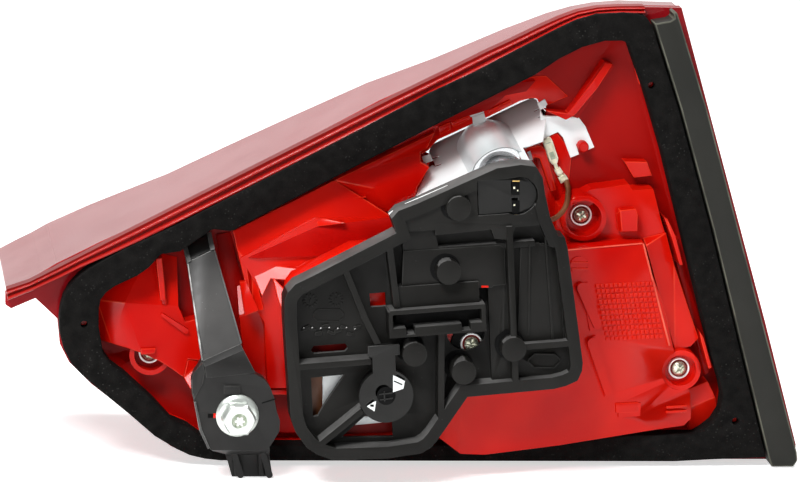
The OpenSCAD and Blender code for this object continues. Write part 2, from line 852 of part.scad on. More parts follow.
module shield_cut() {
  shield_frame()
    translate([-60, -60, -2])
      cube([120, 120, 60]);
}

module reversing_reflector() {
  color([0.85, 0.87, 0.88])
    difference() {
      intersection() {
        union() {
          round_y(plan([rev_at])[0], 21, 2, inner_y, 29);
          round_y(plan([rev_at])[0], 29, inner_y - 0.1, 30, 60);
          slab(inner_y + 0.2, inner_y + 2)
            translate(plan([rev_at])[0])
              circle(r = 34);
          round_y(plan([screw_1_at])[0], 8, 12.8, inner_y + 1);
        }
        under_lens(lens_wall + 1.5);
        slab(-10, 60)
          cavity_2d(lens_wall + 1);
        slab(-10, 60)
          translate([40, 53 * kz])
            square([120, 90]);
      }
      round_y(plan([rev_at])[0], 18.6, 1.9, inner_y, 26.8);
      round_y(plan([rev_at])[0], 26.8, inner_y - 0.1, 31, 60);
      round_y(plan([screw_1_at])[0], screw_d + 0.1, 10, 22);
      shield_cut();
      translate([98.6 * kx, 10, 84 * kz])
        cube([4, 9.4, 22]);
    }
}

module tail_reflector() {
  color([0.85, 0.87, 0.88])
    difference() {
      intersection() {
        union() {
          round_y(plan([tail_at])[0], 24, -4, 16, 31);
          round_y(plan([tail_at])[0], 31, 15.9, 38, 66);
          slab(inner_y + 0.2, inner_y + 2)
            polygon(plan([[-42, 20], [-30, 40], [-18, 47], [4, 50], [60, 50], [160, 50],
              [176, -17], [-8, -17], [-38, 6]]));
          carrier_frame()
            slab(-2, -0.8)
              translate([-20 * kx, -9.6 * kz])
                square([36 * kx, 26 * kz]);
          round_y(plan([screw_2_at])[0], 8, 7.1, inner_y + 1);
          round_y(plan([screw_3_at])[0], 8, -7.4, inner_y + 1);
          round_y(plan([screw_4_at])[0], 8, 13.6, inner_y + 1);
        }
        under_lens(lens_wall + 1.5);
        slab(-10, 60)
          cavity_2d(lens_wall + 1);
      }
      round_y(plan([tail_at])[0], 21.6, -5, 16, 28.6);
      round_y(plan([tail_at])[0], 28.6, 15.9, 39, 65.2);
      for (c = [cups[1], cups[2], cups[3]])
        round_y(plan([c[0]])[0], screw_d + 0.1, c[2], c[2] + screw_len + 2);
    }
}

module lead_terminal() {
  color([0.85, 0.8, 0.66])
    union() {
      slab(floor_y - sheet_t - 0.8, floor_y - sheet_t)
        polygon(plan([[103.3, 89.4], [106.2, 90.4], [110.6, 80.5], [108.9, 78.9],
          [107, 79.2]]));
      translate([108.6 * kx, floor_y - sheet_t - 0.9, 79.4 * kz])
        rotate([0, -33, 0])
          translate([-1.5, -1.5, -4.2])
            cube([3, 2.3, 5.2]);
    }
}

lead_pts = [[111.6, 12.2, 74.9], [112.1, 10.8, 73.2], [112.3, 9, 71.8], [112, 6.4, 70.9],
  [111.4, 3.4, 70], [110.8, 0.4, 69], [109.6, -2.6, 67.4], [107.4, -6, 65.7],
  [104.9, -9.2, 64.9], [102.2, -12.2, 64.6], [98.2, -17, 64.8]];

module earth_lead() {
  color([0.35, 0.18, 0.1])
    for (i = [0:len(lead_pts) - 2])
      hull()
        for (p = [lead_pts[i], lead_pts[i + 1]])
          translate(at3(p))
            sphere(d = lead_d, $fn = 14);
}

function at3(p) = [p[0] * kx, p[1], p[2] * kz];

outer_lens();
reversing_window();
housing();
foam_gasket();
side_trim();
mounting_bracket();
flange_bolt();
threaded_insert();
screw_1();
screw_2();
screw_3();
screw_4();
bulb_carrier();
reversing_bulb_holder();
tail_bulb_holder();
reversing_bulb();
tail_bulb();
earth_strip();
reversing_strip();
tail_strip();
heat_shield();
reversing_reflector();
tail_reflector();
lead_terminal();
earth_lead();
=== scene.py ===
import math

import bmesh
import bpy
from mathutils import Matrix, Vector
from mathutils.bvhtree import BVHTree


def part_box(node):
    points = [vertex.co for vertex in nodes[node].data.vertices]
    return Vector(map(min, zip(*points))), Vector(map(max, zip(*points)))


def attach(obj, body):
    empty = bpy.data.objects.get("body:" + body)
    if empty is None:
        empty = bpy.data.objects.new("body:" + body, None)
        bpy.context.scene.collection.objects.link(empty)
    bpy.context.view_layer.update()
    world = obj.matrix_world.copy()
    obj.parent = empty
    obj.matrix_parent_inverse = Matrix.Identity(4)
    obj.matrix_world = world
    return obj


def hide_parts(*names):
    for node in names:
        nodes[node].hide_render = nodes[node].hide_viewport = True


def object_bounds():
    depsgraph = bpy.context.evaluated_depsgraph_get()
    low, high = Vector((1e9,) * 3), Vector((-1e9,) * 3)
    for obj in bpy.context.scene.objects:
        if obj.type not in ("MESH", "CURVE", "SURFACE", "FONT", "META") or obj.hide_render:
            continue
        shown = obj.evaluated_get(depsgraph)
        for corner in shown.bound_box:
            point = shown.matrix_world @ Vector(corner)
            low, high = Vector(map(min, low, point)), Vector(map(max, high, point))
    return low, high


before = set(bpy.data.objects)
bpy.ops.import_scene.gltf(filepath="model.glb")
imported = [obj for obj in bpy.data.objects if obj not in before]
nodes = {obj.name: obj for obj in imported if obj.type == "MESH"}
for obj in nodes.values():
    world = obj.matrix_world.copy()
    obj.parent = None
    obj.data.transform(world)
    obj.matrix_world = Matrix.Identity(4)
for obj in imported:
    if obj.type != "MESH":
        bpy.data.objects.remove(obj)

MM = 0.001
cad_low, cad_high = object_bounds()

# camera

CAMERA_AZIMUTH = math.radians(-8)
CAMERA_ELEVATION = math.radians(12.5)
CAMERA_ROLL = math.radians(2.2)
CAMERA_PLACE = (-149.02, -1450.19, 379.49)
CAMERA_LENS = 202.5
CAMERA_SENSOR = 36


def set_camera():
    back = Vector((math.sin(CAMERA_AZIMUTH) * math.cos(CAMERA_ELEVATION),
                   -math.cos(CAMERA_AZIMUTH) * math.cos(CAMERA_ELEVATION),
                   math.sin(CAMERA_ELEVATION)))
    level_right = Vector((math.cos(CAMERA_AZIMUTH), math.sin(CAMERA_AZIMUTH), 0))
    level_up = back.cross(level_right)
    right = level_right * math.cos(CAMERA_ROLL) + level_up * math.sin(CAMERA_ROLL)
    up = level_up * math.cos(CAMERA_ROLL) - level_right * math.sin(CAMERA_ROLL)
    place = Vector(CAMERA_PLACE) * MM
    data = bpy.data.cameras.new("camera")
    data.sensor_width = CAMERA_SENSOR
    data.lens = CAMERA_LENS
    data.clip_end = 20
    camera = bpy.data.objects.new("camera", data)
    camera.matrix_world = Matrix((
        (right.x, up.x, back.x, place.x),
        (right.y, up.y, back.y, place.y),
        (right.z, up.z, back.z, place.z),
        (0, 0, 0, 1)))
    bpy.context.scene.collection.objects.link(camera)
    bpy.context.scene.camera = camera


# white room: soft lamps, pale floor and a white background

WORLD_LEVEL = 0.3
DARK_SIDE = 0.1
FLOOR_DROP = 0.2
FLOOR_SIZE = 4
FLOOR_COLOUR = (0.88, 0.88, 0.88, 1)
FLOOR_GLOW = 0.62
LAMPS = {
    "key": dict(place=(-0.55, -0.9, 1.25), size=(0.55, 0.4), watts=23),
    "front_fill": dict(place=(-0.9, -1.5, 0.15), size=(0.5, 0.5), watts=4.5),
    "top": dict(place=(0.05, 0.15, 1.3), size=(1.3, 0.6), watts=13)}
LAMP_AIM = (0.06, 0, 0.05)


def add_lamp(name, place, size, watts):
    data = bpy.data.lights.new(name, "AREA")
    data.shape = "RECTANGLE"
    data.size, data.size_y = size
    data.energy = watts
    lamp = bpy.data.objects.new(name, data)
    lamp.location = place
    direction = Vector(LAMP_AIM) - Vector(place)
    lamp.rotation_euler = direction.to_track_quat("-Z", "Y").to_euler()
    bpy.context.scene.collection.objects.link(lamp)


def seen_rays(tree):
    """One for rays that show the background: straight, mirrored and through glass."""
    path = tree.nodes.new("ShaderNodeLightPath")
    mirrored = math_node(tree, "MAXIMUM", path.outputs["Is Glossy Ray"],
                         path.outputs["Is Transmission Ray"])
    return path, math_node(tree, "MAXIMUM", path.outputs["Is Camera Ray"], mirrored)


def math_node(tree, operation, first, second):
    node = tree.nodes.new("ShaderNodeMath")
    node.operation = operation
    for slot, value in enumerate((first, second)):
        if isinstance(value, (int, float)):
            node.inputs[slot].default_value = value
        else:
            tree.links.new(value, node.inputs[slot])
    return node.outputs[0]


def set_world():
    world = bpy.data.worlds.new("white_room")
    bpy.context.scene.world = world
    world.use_nodes = True
    tree = world.node_tree
    tree.nodes.clear()
    output = tree.nodes.new("ShaderNodeOutputWorld")
    soft = tree.nodes.new("ShaderNodeBackground")
    soft.inputs["Strength"].default_value = WORLD_LEVEL
    white = tree.nodes.new("ShaderNodeBackground")
    white.inputs["Color"].default_value = (1, 1, 1, 1)
    # the room is darker on the camera's side, as mirrored rays see it
    coords = tree.nodes.new("ShaderNodeTexCoord")
    axes = tree.nodes.new("ShaderNodeSeparateXYZ")
    tree.links.new(coords.outputs["Generated"], axes.inputs[0])
    side = tree.nodes.new("ShaderNodeMapRange")
    side.inputs["From Min"].default_value = -0.75
    side.inputs["From Max"].default_value = 0.15
    side.inputs["To Min"].default_value = DARK_SIDE
    side.inputs["To Max"].default_value = 1
    tree.links.new(axes.outputs["Y"], side.inputs["Value"])
    path, seen = seen_rays(tree)
    strength = math_node(tree, "MAXIMUM", path.outputs["Is Camera Ray"], side.outputs[0])
    tree.links.new(strength, white.inputs["Strength"])
    mix = tree.nodes.new("ShaderNodeMixShader")
    tree.links.new(seen, mix.inputs[0])
    tree.links.new(soft.outputs[0], mix.inputs[1])
    tree.links.new(white.outputs[0], mix.inputs[2])
    tree.links.new(mix.outputs[0], output.inputs[0])


def set_floor():
    bm = bmesh.new()
    bmesh.ops.create_grid(bm, x_segments=1, y_segments=1, size=FLOOR_SIZE)
    bmesh.ops.translate(bm, verts=bm.verts, vec=(0, 0, cad_low[2] - FLOOR_DROP * MM))
    material, tree, shader = new_material("pale_floor")
    shader.inputs["Base Color"].default_value = FLOOR_COLOUR
    shader.inputs["Roughness"].default_value = 0.9
    glow = tree.nodes.new("ShaderNodeEmission")
    glow.inputs["Color"].default_value = (1, 1, 1, 1)
    glow.inputs["Strength"].default_value = FLOOR_GLOW
    both = tree.nodes.new("ShaderNodeAddShader")
    pick = tree.nodes.new("ShaderNodeMixShader")
    output = next(n for n in tree.nodes if n.type == "OUTPUT_MATERIAL")
    seen = seen_rays(tree)[1]
    tree.links.new(shader.outputs[0], both.inputs[0])
    tree.links.new(glow.outputs[0], both.inputs[1])
    tree.links.new(seen, pick.inputs[0])
    tree.links.new(shader.outputs[0], pick.inputs[1])
    tree.links.new(both.outputs[0], pick.inputs[2])
    tree.links.new(pick.outputs[0], output.inputs[0])
    floor = finish_mesh(bm, "floor", material)


def new_material(name):
    material = bpy.data.materials.new(name)
    material.use_nodes = True
    tree = material.node_tree
    tree.nodes.clear()
    output = tree.nodes.new("ShaderNodeOutputMaterial")
    shader = tree.nodes.new("ShaderNodeBsdfPrincipled")
    tree.links.new(shader.outputs[0], output.inputs[0])
    return material, tree, shader


def finish_mesh(bm, name, material, smooth=35):
    mesh = bpy.data.meshes.new(name)
    bm.to_mesh(mesh)
    bm.free()
    piece = bpy.data.objects.new(name, mesh)
    bpy.context.scene.collection.objects.link(piece)
    mesh.shade_smooth()
    mesh.set_sharp_from_angle(angle=math.radians(smooth))
    mesh.materials.append(material)
    return piece


bpy.context.scene.view_settings.view_transform = "Standard"
set_camera()
set_world()
for lamp_name, lamp in LAMPS.items():
    add_lamp(lamp_name, **lamp)
set_floor()

# effects that several finishes share


def new_group(name, inputs, outputs):
    group = bpy.data.node_groups.new(name, "ShaderNodeTree")
    for label, kind, value in inputs:
        socket = group.interface.new_socket(label, in_out="INPUT", socket_type=kind)
        socket.default_value = value
    for label, kind in outputs:
        group.interface.new_socket(label, in_out="OUTPUT", socket_type=kind)
    group_in = group.nodes.new("NodeGroupInput")
    group_out = group.nodes.new("NodeGroupOutput")
    return group, group_in, group_out


def make_grain():
    """Height of a moulded or rolled skin: a fine noise over a coarse one."""
    group, group_in, group_out = new_group("fine_grain", [
        ("Vector", "NodeSocketVector", (0, 0, 0)),
        ("Scale", "NodeSocketFloat", 1500),
        ("Coarse", "NodeSocketFloat", 0.25)], [("Height", "NodeSocketFloat")])
    fine = group.nodes.new("ShaderNodeTexNoise")
    fine.inputs["Detail"].default_value = 3
    coarse = group.nodes.new("ShaderNodeTexNoise")
    coarse.inputs["Scale"].default_value = 120
    mix = group.nodes.new("ShaderNodeMix")
    link = group.links.new
    link(group_in.outputs["Vector"], fine.inputs["Vector"])
    link(group_in.outputs["Vector"], coarse.inputs["Vector"])
    link(group_in.outputs["Scale"], fine.inputs["Scale"])
    link(group_in.outputs["Coarse"], mix.inputs[0])
    link(fine.outputs["Fac"], mix.inputs[2])
    link(coarse.outputs["Fac"], mix.inputs[3])
    link(mix.outputs[0], group_out.inputs["Height"])
    return group


def make_edge_highlight():
    """Mask of the painted edge highlight: the rounded edges of a piece, broken up by a noise."""
    group, group_in, group_out = new_group("painted_edge_highlight", [
        ("Vector", "NodeSocketVector", (0, 0, 0)),
        ("Patch", "NodeSocketFloat", 90),
        ("Amount", "NodeSocketFloat", 0.5)], [("Mask", "NodeSocketFloat")])
    edge = group.nodes.new("ShaderNodeAttribute")
    edge.attribute_name = "edge_highlight_mask"
    patch = group.nodes.new("ShaderNodeTexNoise")
    patch.inputs["Detail"].default_value = 4
    spread = group.nodes.new("ShaderNodeMapRange")
    spread.inputs["From Min"].default_value = 0.38
    spread.inputs["From Max"].default_value = 0.6
    spread.inputs["To Min"].default_value = 0.35
    link = group.links.new
    link(group_in.outputs["Vector"], patch.inputs["Vector"])
    link(group_in.outputs["Patch"], patch.inputs["Scale"])
    link(patch.outputs["Fac"], spread.inputs["Value"])
    broken = math_node(group, "MULTIPLY", edge.outputs["Fac"], spread.outputs[0])
    mask = math_node(group, "MULTIPLY", broken, group_in.outputs["Amount"])
    link(mask, group_out.inputs["Mask"])
    return group


def make_cloud():
    """Slow change of tone over a surface, as a share from 0 to 1."""
    group, group_in, group_out = new_group("slow_tone", [
        ("Vector", "NodeSocketVector", (0, 0, 0)),
        ("Scale", "NodeSocketFloat", 14),
        ("Low", "NodeSocketFloat", 0.35),
        ("High", "NodeSocketFloat", 0.65)], [("Share", "NodeSocketFloat")])
    noise = group.nodes.new("ShaderNodeTexNoise")
    noise.inputs["Detail"].default_value = 3
    ramp = group.nodes.new("ShaderNodeMapRange")
    link = group.links.new
    link(group_in.outputs["Vector"], noise.inputs["Vector"])
    link(group_in.outputs["Scale"], noise.inputs["Scale"])
    link(noise.outputs["Fac"], ramp.inputs["Value"])
    link(group_in.outputs["Low"], ramp.inputs["From Min"])
    link(group_in.outputs["High"], ramp.inputs["From Max"])
    link(ramp.outputs[0], group_out.inputs["Share"])
    return group


def make_specks():
    """Mask of small specks of dust, or of pale grains in foam."""
    group, group_in, group_out = new_group("dust_specks", [
        ("Vector", "NodeSocketVector", (0, 0, 0)),
        ("Scale", "NodeSocketFloat", 400),
        ("Size", "NodeSocketFloat", 0.1),
        ("Amount", "NodeSocketFloat", 0.5)], [("Mask", "NodeSocketFloat")])
    cells = group.nodes.new("ShaderNodeTexVoronoi")
    ramp = group.nodes.new("ShaderNodeMapRange")
    ramp.inputs["From Min"].default_value = 0
    ramp.inputs["To Min"].default_value = 1
    ramp.inputs["To Max"].default_value = 0
    patch = group.nodes.new("ShaderNodeTexNoise")
    patch.inputs["Scale"].default_value = 60
    spread = group.nodes.new("ShaderNodeMapRange")
    spread.inputs["From Min"].default_value = 0.45
    spread.inputs["From Max"].default_value = 0.6
    link = group.links.new
    link(group_in.outputs["Vector"], cells.inputs["Vector"])
    link(group_in.outputs["Vector"], patch.inputs["Vector"])
    link(group_in.outputs["Scale"], cells.inputs["Scale"])
    link(cells.outputs["Distance"], ramp.inputs["Value"])
    link(group_in.outputs["Size"], ramp.inputs["From Max"])
    link(patch.outputs["Fac"], spread.inputs["Value"])
    broken = math_node(group, "MULTIPLY", ramp.outputs[0], spread.outputs[0])
    mask = math_node(group, "MULTIPLY", broken, group_in.outputs["Amount"])
    link(mask, group_out.inputs["Mask"])
    return group


GRAIN = make_grain()
EDGE_HIGHLIGHT = make_edge_highlight()
CLOUD = make_cloud()
SPECKS = make_specks()


def place_group(tree, group, coords, **values):
    node = tree.nodes.new("ShaderNodeGroup")
    node.node_tree = group
    for key, value in values.items():
        node.inputs[key].default_value = value
    tree.links.new(coords.outputs["Object"], node.inputs["Vector"])
    return node


def mix_colour(tree, share, first, second):
    mix = tree.nodes.new("ShaderNodeMix")
    mix.data_type = "RGBA"
    tree.links.new(share, mix.inputs[0])
    for slot, value in ((6, first), (7, second)):
        if isinstance(value, tuple):
            mix.inputs[slot].default_value = (*value, 1)
        else:
            tree.links.new(value, mix.inputs[slot])
    return mix.outputs[2]


def faded(tree, coords, colour, direction, start, end, tone):
    """Turns slowly to another tone along one direction of the object, in metres."""
    along = tree.nodes.new("ShaderNodeVectorMath")
    along.operation = "DOT_PRODUCT"
    along.inputs[1].default_value = direction
    tree.links.new(coords.outputs["Object"], along.inputs[0])
    share = tree.nodes.new("ShaderNodeMapRange")
    share.inputs["From Min"].default_value = start
    share.inputs["From Max"].default_value = end
    tree.links.new(along.outputs["Value"], share.inputs["Value"])
    return mix_colour(tree, share.outputs[0], colour, tone)


def surface(name, dark, light, rough, cloud=14, rough_span=0.08, grain=0.1, scale=1500, coarse=0.25,
            bump_mm=0.05, edge=None, edge_amount=0.5, edge_patch=90, dust=None, dust_scale=420,
            dust_size=0.1, dust_amount=0.5, fade=None, **shader_values):
    """A finish: two tones in slow clouds, a paler painted highlight on rounded edges, dust specks and a
    fine grain.
    """
    material, tree, shader = new_material(name)
    coords = tree.nodes.new("ShaderNodeTexCoord")
    tone = place_group(tree, CLOUD, coords, Scale=cloud)
    colour = mix_colour(tree, tone.outputs["Share"], dark, light)
    if edge is not None:
        edge_highlight = place_group(tree, EDGE_HIGHLIGHT, coords, Amount=edge_amount, Patch=edge_patch)
        colour = mix_colour(tree, edge_highlight.outputs["Mask"], colour, edge)
    if dust is not None:
        specks = place_group(tree, SPECKS, coords, Scale=dust_scale, Size=dust_size,
                             Amount=dust_amount)
        colour = mix_colour(tree, specks.outputs["Mask"], colour, dust)
    if fade is not None:
        colour = faded(tree, coords, colour, *fade)
    tree.links.new(colour, shader.inputs["Base Color"])
    spots = place_group(tree, CLOUD, coords, Scale=cloud * 6)
    span = tree.nodes.new("ShaderNodeMapRange")
    span.inputs["To Min"].default_value = rough
    span.inputs["To Max"].default_value = rough + rough_span
    tree.links.new(spots.outputs["Share"], span.inputs["Value"])
    tree.links.new(span.outputs[0], shader.inputs["Roughness"])
    if grain:
        height = place_group(tree, GRAIN, coords, Scale=scale, Coarse=coarse)
        bump = tree.nodes.new("ShaderNodeBump")
        bump.inputs["Strength"].default_value = grain
        bump.inputs["Distance"].default_value = bump_mm * MM
        tree.links.new(height.outputs["Height"], bump.inputs["Height"])
        tree.links.new(bump.outputs[0], shader.inputs["Normal"])
    for socket, value in shader_values.items():
        shader.inputs[socket.replace("_", " ")].default_value = value
    return material


# finishes; the edge colour of each is a painted highlight along its rounded edges

# painted reflection: the shield's steel is darker towards its top edge, as its brushed reflection dims
# there: direction, start, end, tone
SHIELD_PAINTED_SHEEN = ((-0.261, 0.809, 0.527), 0.032, 0.045, (0.30, 0.30, 0.29))

lens_red = surface(
    "lens_red", (0.29, 0.006, 0.010), (0.35, 0.009, 0.014), 0.05, cloud=9, rough_span=0.02,
    grain=0.05, scale=40, coarse=0, bump_mm=0.3, edge=(0.80, 0.10, 0.05), edge_amount=0.9,
    dust=(0.8, 0.5, 0.5), dust_scale=260, dust_size=0.05, dust_amount=0.25,
    Specular_IOR_Level=0.1)
housing_red = surface(
    "housing_red", (0.54, 0.003, 0.001), (0.72, 0.011, 0.003), 0.17, cloud=22, grain=0.1,
    scale=700, edge=(0.95, 0.085, 0.035), edge_amount=0.4, dust=(0.45, 0.01, 0.006),
    dust_scale=300, dust_amount=0.3, Specular_IOR_Level=0.17)
bead_red = surface(
    "bead_red", (0.32, 0.007, 0.005), (0.41, 0.011, 0.008), 0.16, cloud=18, grain=0.05, scale=60,
    coarse=0, edge=(0.85, 0.12, 0.08), edge_amount=0.5, Specular_IOR_Level=0.25)
# painted shade: a darker red for the bead's bed, seen as the grooves
groove_shade_red = surface(
    "groove_shade_red", (0.17, 0.003, 0.002), (0.24, 0.005, 0.003), 0.3, cloud=18, grain=0.05, scale=60,
    coarse=0, Specular_IOR_Level=0.1)
foam_black = surface(
    "foam_black", (0.0038, 0.0036, 0.0034), (0.0085, 0.008, 0.0075), 0.9, cloud=260, grain=0.9,
    scale=1900, coarse=0.1, bump_mm=0.25, dust=(0.05, 0.049, 0.046), dust_scale=800,
    dust_size=0.26, dust_amount=0.9, Specular_IOR_Level=0.1)
trim_grey = surface(
    "trim_grey", (0.0155, 0.0158, 0.0135), (0.021, 0.0213, 0.018), 0.5, cloud=20, grain=0.25,
    scale=2200, edge=(0.13, 0.13, 0.10), edge_amount=0.9, Specular_IOR_Level=0.18)
bracket_grey = surface(
    "bracket_grey", (0.0076, 0.0072, 0.0068), (0.0135, 0.0128, 0.012), 0.45, cloud=40, grain=0.3,
    scale=900, edge=(0.085, 0.085, 0.08), edge_amount=0.8, dust=(0.12, 0.12, 0.12),
    Specular_IOR_Level=0.3)
# painted light: a far paler grey for the bracket's strap face, ears and edges, standing for the light
# they catch
bracket_lit_grey = surface(
    "bracket_lit_grey", (0.048, 0.047, 0.046), (0.074, 0.072, 0.070), 0.4, cloud=60, grain=0.3,
    scale=1100, edge=(0.30, 0.30, 0.29), edge_amount=0.8, dust=(0.3, 0.3, 0.3),
    Specular_IOR_Level=0.3)
edge_pale = surface(
    "edge_pale", (0.16, 0.155, 0.15), (0.60, 0.59, 0.57), 0.4, cloud=260, grain=0.4, scale=900,
    Specular_IOR_Level=0.3)
carrier_grey = surface(
    "carrier_grey", (0.0076, 0.0073, 0.0066), (0.0125, 0.012, 0.0108), 0.45, cloud=45, grain=0.3,
    scale=1300, edge=(0.05, 0.05, 0.047), edge_amount=0.7, dust=(0.10, 0.10, 0.10),
    Specular_IOR_Level=0.14)
# painted light: a paler grey for the carrier's rim walls that face up towards the lamps
carrier_lit_grey = surface(
    "carrier_lit_grey", (0.075, 0.074, 0.072), (0.125, 0.123, 0.120), 0.5, cloud=80, grain=0.3,
    scale=1300, Specular_IOR_Level=0.05)
holder_grey = surface(
    "holder_grey", (0.0072, 0.0071, 0.0066), (0.0115, 0.0113, 0.0105), 0.42, cloud=60, grain=0.3,
    scale=1300, edge=(0.06, 0.06, 0.058), edge_amount=0.6, Specular_IOR_Level=0.25)
# painted shade: near-black sheets laid where shade falls, in slots, hollows, creases, round the bosses'
# feet and round screw 3; the same black colours the tail holder's dark hub and window lines
shade_black = surface(
    "shade_black", (0.0018, 0.0018, 0.0018), (0.003, 0.003, 0.003), 0.6, cloud=60, grain=0.2,
    scale=1300, Specular_IOR_Level=0.1)
zinc = surface(
    "zinc", (0.62, 0.66, 0.62), (0.80, 0.85, 0.80), 0.28, cloud=120, rough_span=0.14, grain=0.15,
    scale=900, edge=(0.9, 0.92, 0.9), edge_amount=0.7, Metallic=0.7)
recess_green = surface(
    "recess_green", (0.30, 0.36, 0.26), (0.60, 0.66, 0.55), 0.3, cloud=700, rough_span=0.1,
    grain=0.15, scale=900, edge=(0.85, 0.87, 0.8), edge_amount=0.9, Metallic=0.3)
screw_zinc = surface(
    "screw_zinc", (0.40, 0.41, 0.31), (0.72, 0.73, 0.60), 0.24, cloud=300, rough_span=0.12,
    grain=0.12, scale=900, edge=(0.9, 0.9, 0.84), edge_amount=0.8, Metallic=0.9)
# painted highlight: near-white for the screws' rims, the specks on the mould gate and the star in the
# bolt's recess
highlight_white = surface(
    "highlight_white", (0.88, 0.86, 0.85), (0.96, 0.95, 0.94), 0.3, cloud=200, grain=0.1, scale=900,
    Metallic=0.3)
# painted shade: a dim red for the face under the wedge's brow
shade_dim_red = surface(
    "shade_dim_red", (0.42, 0.002, 0.001), (0.54, 0.005, 0.002), 0.26, cloud=30, grain=0.1, scale=700,
    Specular_IOR_Level=0.12)
# painted highlight: a paler red for the line along the lamp box's edges
edge_highlight_red = surface(
    "edge_highlight_red", (0.72, 0.07, 0.04), (0.86, 0.13, 0.08), 0.2, cloud=60, grain=0.1, scale=700,
    Specular_IOR_Level=0.2)
shade_red = surface(
    "shade_red", (0.26, 0.0015, 0.001), (0.36, 0.003, 0.0015), 0.3, cloud=30, grain=0.1, scale=700,
    Specular_IOR_Level=0.1)
# painted shade: dark red for the groove round each screw head and for the shaded housing seen through the
# carrier's windows
shade_dark_red = surface(
    "shade_dark_red", (0.16, 0.004, 0.003), (0.24, 0.006, 0.004), 0.4, cloud=60, grain=0.1, scale=700,
    Specular_IOR_Level=0.2)
brass = surface(
    "brass", (0.55, 0.36, 0.12), (0.72, 0.52, 0.22), 0.28, cloud=90, grain=0.1, scale=900,
    Metallic=1)
tinned = surface(
    "tinned", (0.72, 0.70, 0.48), (0.90, 0.88, 0.70), 0.34, cloud=260, grain=0.1, scale=900,
    edge=(0.95, 0.94, 0.84), edge_amount=0.6, Metallic=0.35)
shield_metal = surface(
    "shield_metal", (0.90, 0.96, 0.97), (0.97, 1.0, 1.0), 0.3, cloud=45, rough_span=0.14,
    grain=0.12, scale=500, coarse=0.6, edge=(0.98, 0.98, 0.96), edge_amount=0.8, fade=SHIELD_PAINTED_SHEEN,
    Metallic=0.15)
dome_metal = surface(
    "dome_metal", (0.80, 0.87, 0.88), (0.92, 0.99, 1.0), 0.28, cloud=30, rough_span=0.1,
    grain=0.05, scale=500, coarse=0.6, Metallic=0.35)
mirror_bright = surface(
    "mirror_bright", (0.75, 0.76, 0.78), (0.85, 0.86, 0.88), 0.12, cloud=30, grain=0.05,
    scale=60, Metallic=1)
bulb_glass = surface(
    "bulb_glass", (0.06, 0.06, 0.065), (0.46, 0.47, 0.48), 0.06, cloud=170, grain=0.1, scale=300,
    Transmission_Weight=0.75)
window_clear = surface(
    "window_clear", (0.85, 0.87, 0.89), (0.92, 0.93, 0.95), 0.05, cloud=20, grain=0.05, scale=60,
    Transmission_Weight=0.85)
lead_brown = surface(
    "lead_brown", (0.11, 0.034, 0.010), (0.18, 0.060, 0.020), 0.42, cloud=90, grain=0.1,
    scale=900)

FINISH = {
    "outer_lens": lens_red, "reversing_window": window_clear, "housing": housing_red,
    "foam_gasket": foam_black, "side_trim": trim_grey, "mounting_bracket": bracket_grey,
    "flange_bolt": zinc, "threaded_insert": brass, "screw_1": screw_zinc, "screw_2": screw_zinc,
    "screw_3": screw_zinc, "screw_4": screw_zinc, "bulb_carrier": carrier_grey,
    "reversing_bulb_holder": holder_grey, "tail_bulb_holder": holder_grey,
    "reversing_bulb": bulb_glass, "tail_bulb": bulb_glass, "earth_strip": brass,
    "reversing_strip": brass, "tail_strip": brass, "heat_shield": shield_metal,
    "reversing_reflector": mirror_bright, "tail_reflector": mirror_bright,
    "lead_terminal": tinned, "earth_lead": lead_brown}


# tools for shaping


def merged_copy(node):
    """A copy of a CAD piece as one clean mesh, with its flat faces whole."""
    bm = bmesh.new()
    bm.from_mesh(nodes[node].data)
    bmesh.ops.remove_doubles(bm, verts=bm.verts, dist=2e-6)
    bmesh.ops.dissolve_degenerate(bm, edges=bm.edges, dist=4e-6)
    bmesh.ops.dissolve_limit(bm, angle_limit=math.radians(0.6), verts=bm.verts, edges=bm.edges)
    return bm


def round_edges(bm, width, angle=28, segments=2):
    """Rounds each sharp edge that has room for it and marks the round for the painted edge highlight."""
    room = 2.3 * width * MM
    edge_highlight_mask = bm.faces.layers.float.get("edge_highlight_mask") or bm.faces.layers.float.new("edge_highlight_mask")
    sharp = []
    for edge in bm.edges:
        if len(edge.link_faces) != 2 or edge.calc_face_angle(0) < math.radians(angle):
            continue
        near = [other for vert in edge.verts for other in vert.link_edges]
        if min(other.calc_length() for other in near) > room:
            sharp.append(edge)
    if sharp:
        made = bmesh.ops.bevel(bm, geom=sharp, offset=width * MM, offset_type="OFFSET",
                               segments=segments, profile=0.5, affect="EDGES",
                               clamp_overlap=True, material=-1, loop_slide=True)
        for face in made["faces"]:
            face[edge_highlight_mask] = 1
    bmesh.ops.recalc_face_normals(bm, faces=bm.faces)
    return bm


def add_piece(bm, name, material, smooth=30):
    """A detail of its own that rides with the lamp."""
    piece = finish_mesh(bm, name, material, smooth)
    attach(piece, "root")
    return piece


def replace_node(bm, node, smooth=30):
    """A finished shape that stands in for the whole CAD piece."""
    piece = add_piece(bm, node + "_moulded", FINISH[node], smooth)
    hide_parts(node)
    return piece


def shaded_form(name, corners, faces, back, width=0.3, angle=16, smooth=9):
    """Moulded relief on the housing: faces between named corners, carried back to one depth."""
    bm = bmesh.new()
    verts = {key: bm.verts.new(Vector(place) * MM) for key, place in corners.items()}
    for face in faces:
        bm.faces.new([verts[key] for key in face.split()])
    bmesh.ops.connect_verts_nonplanar(bm, angle_limit=math.radians(4), faces=bm.faces)
    made = bmesh.ops.extrude_face_region(bm, geom=bm.faces[:])
    for item in made["geom"]:
        if isinstance(item, bmesh.types.BMVert):
            item.co.y = back * MM
    bmesh.ops.recalc_face_normals(bm, faces=bm.faces)
    return add_piece(round_edges(bm, width, angle), name, housing_red, smooth)


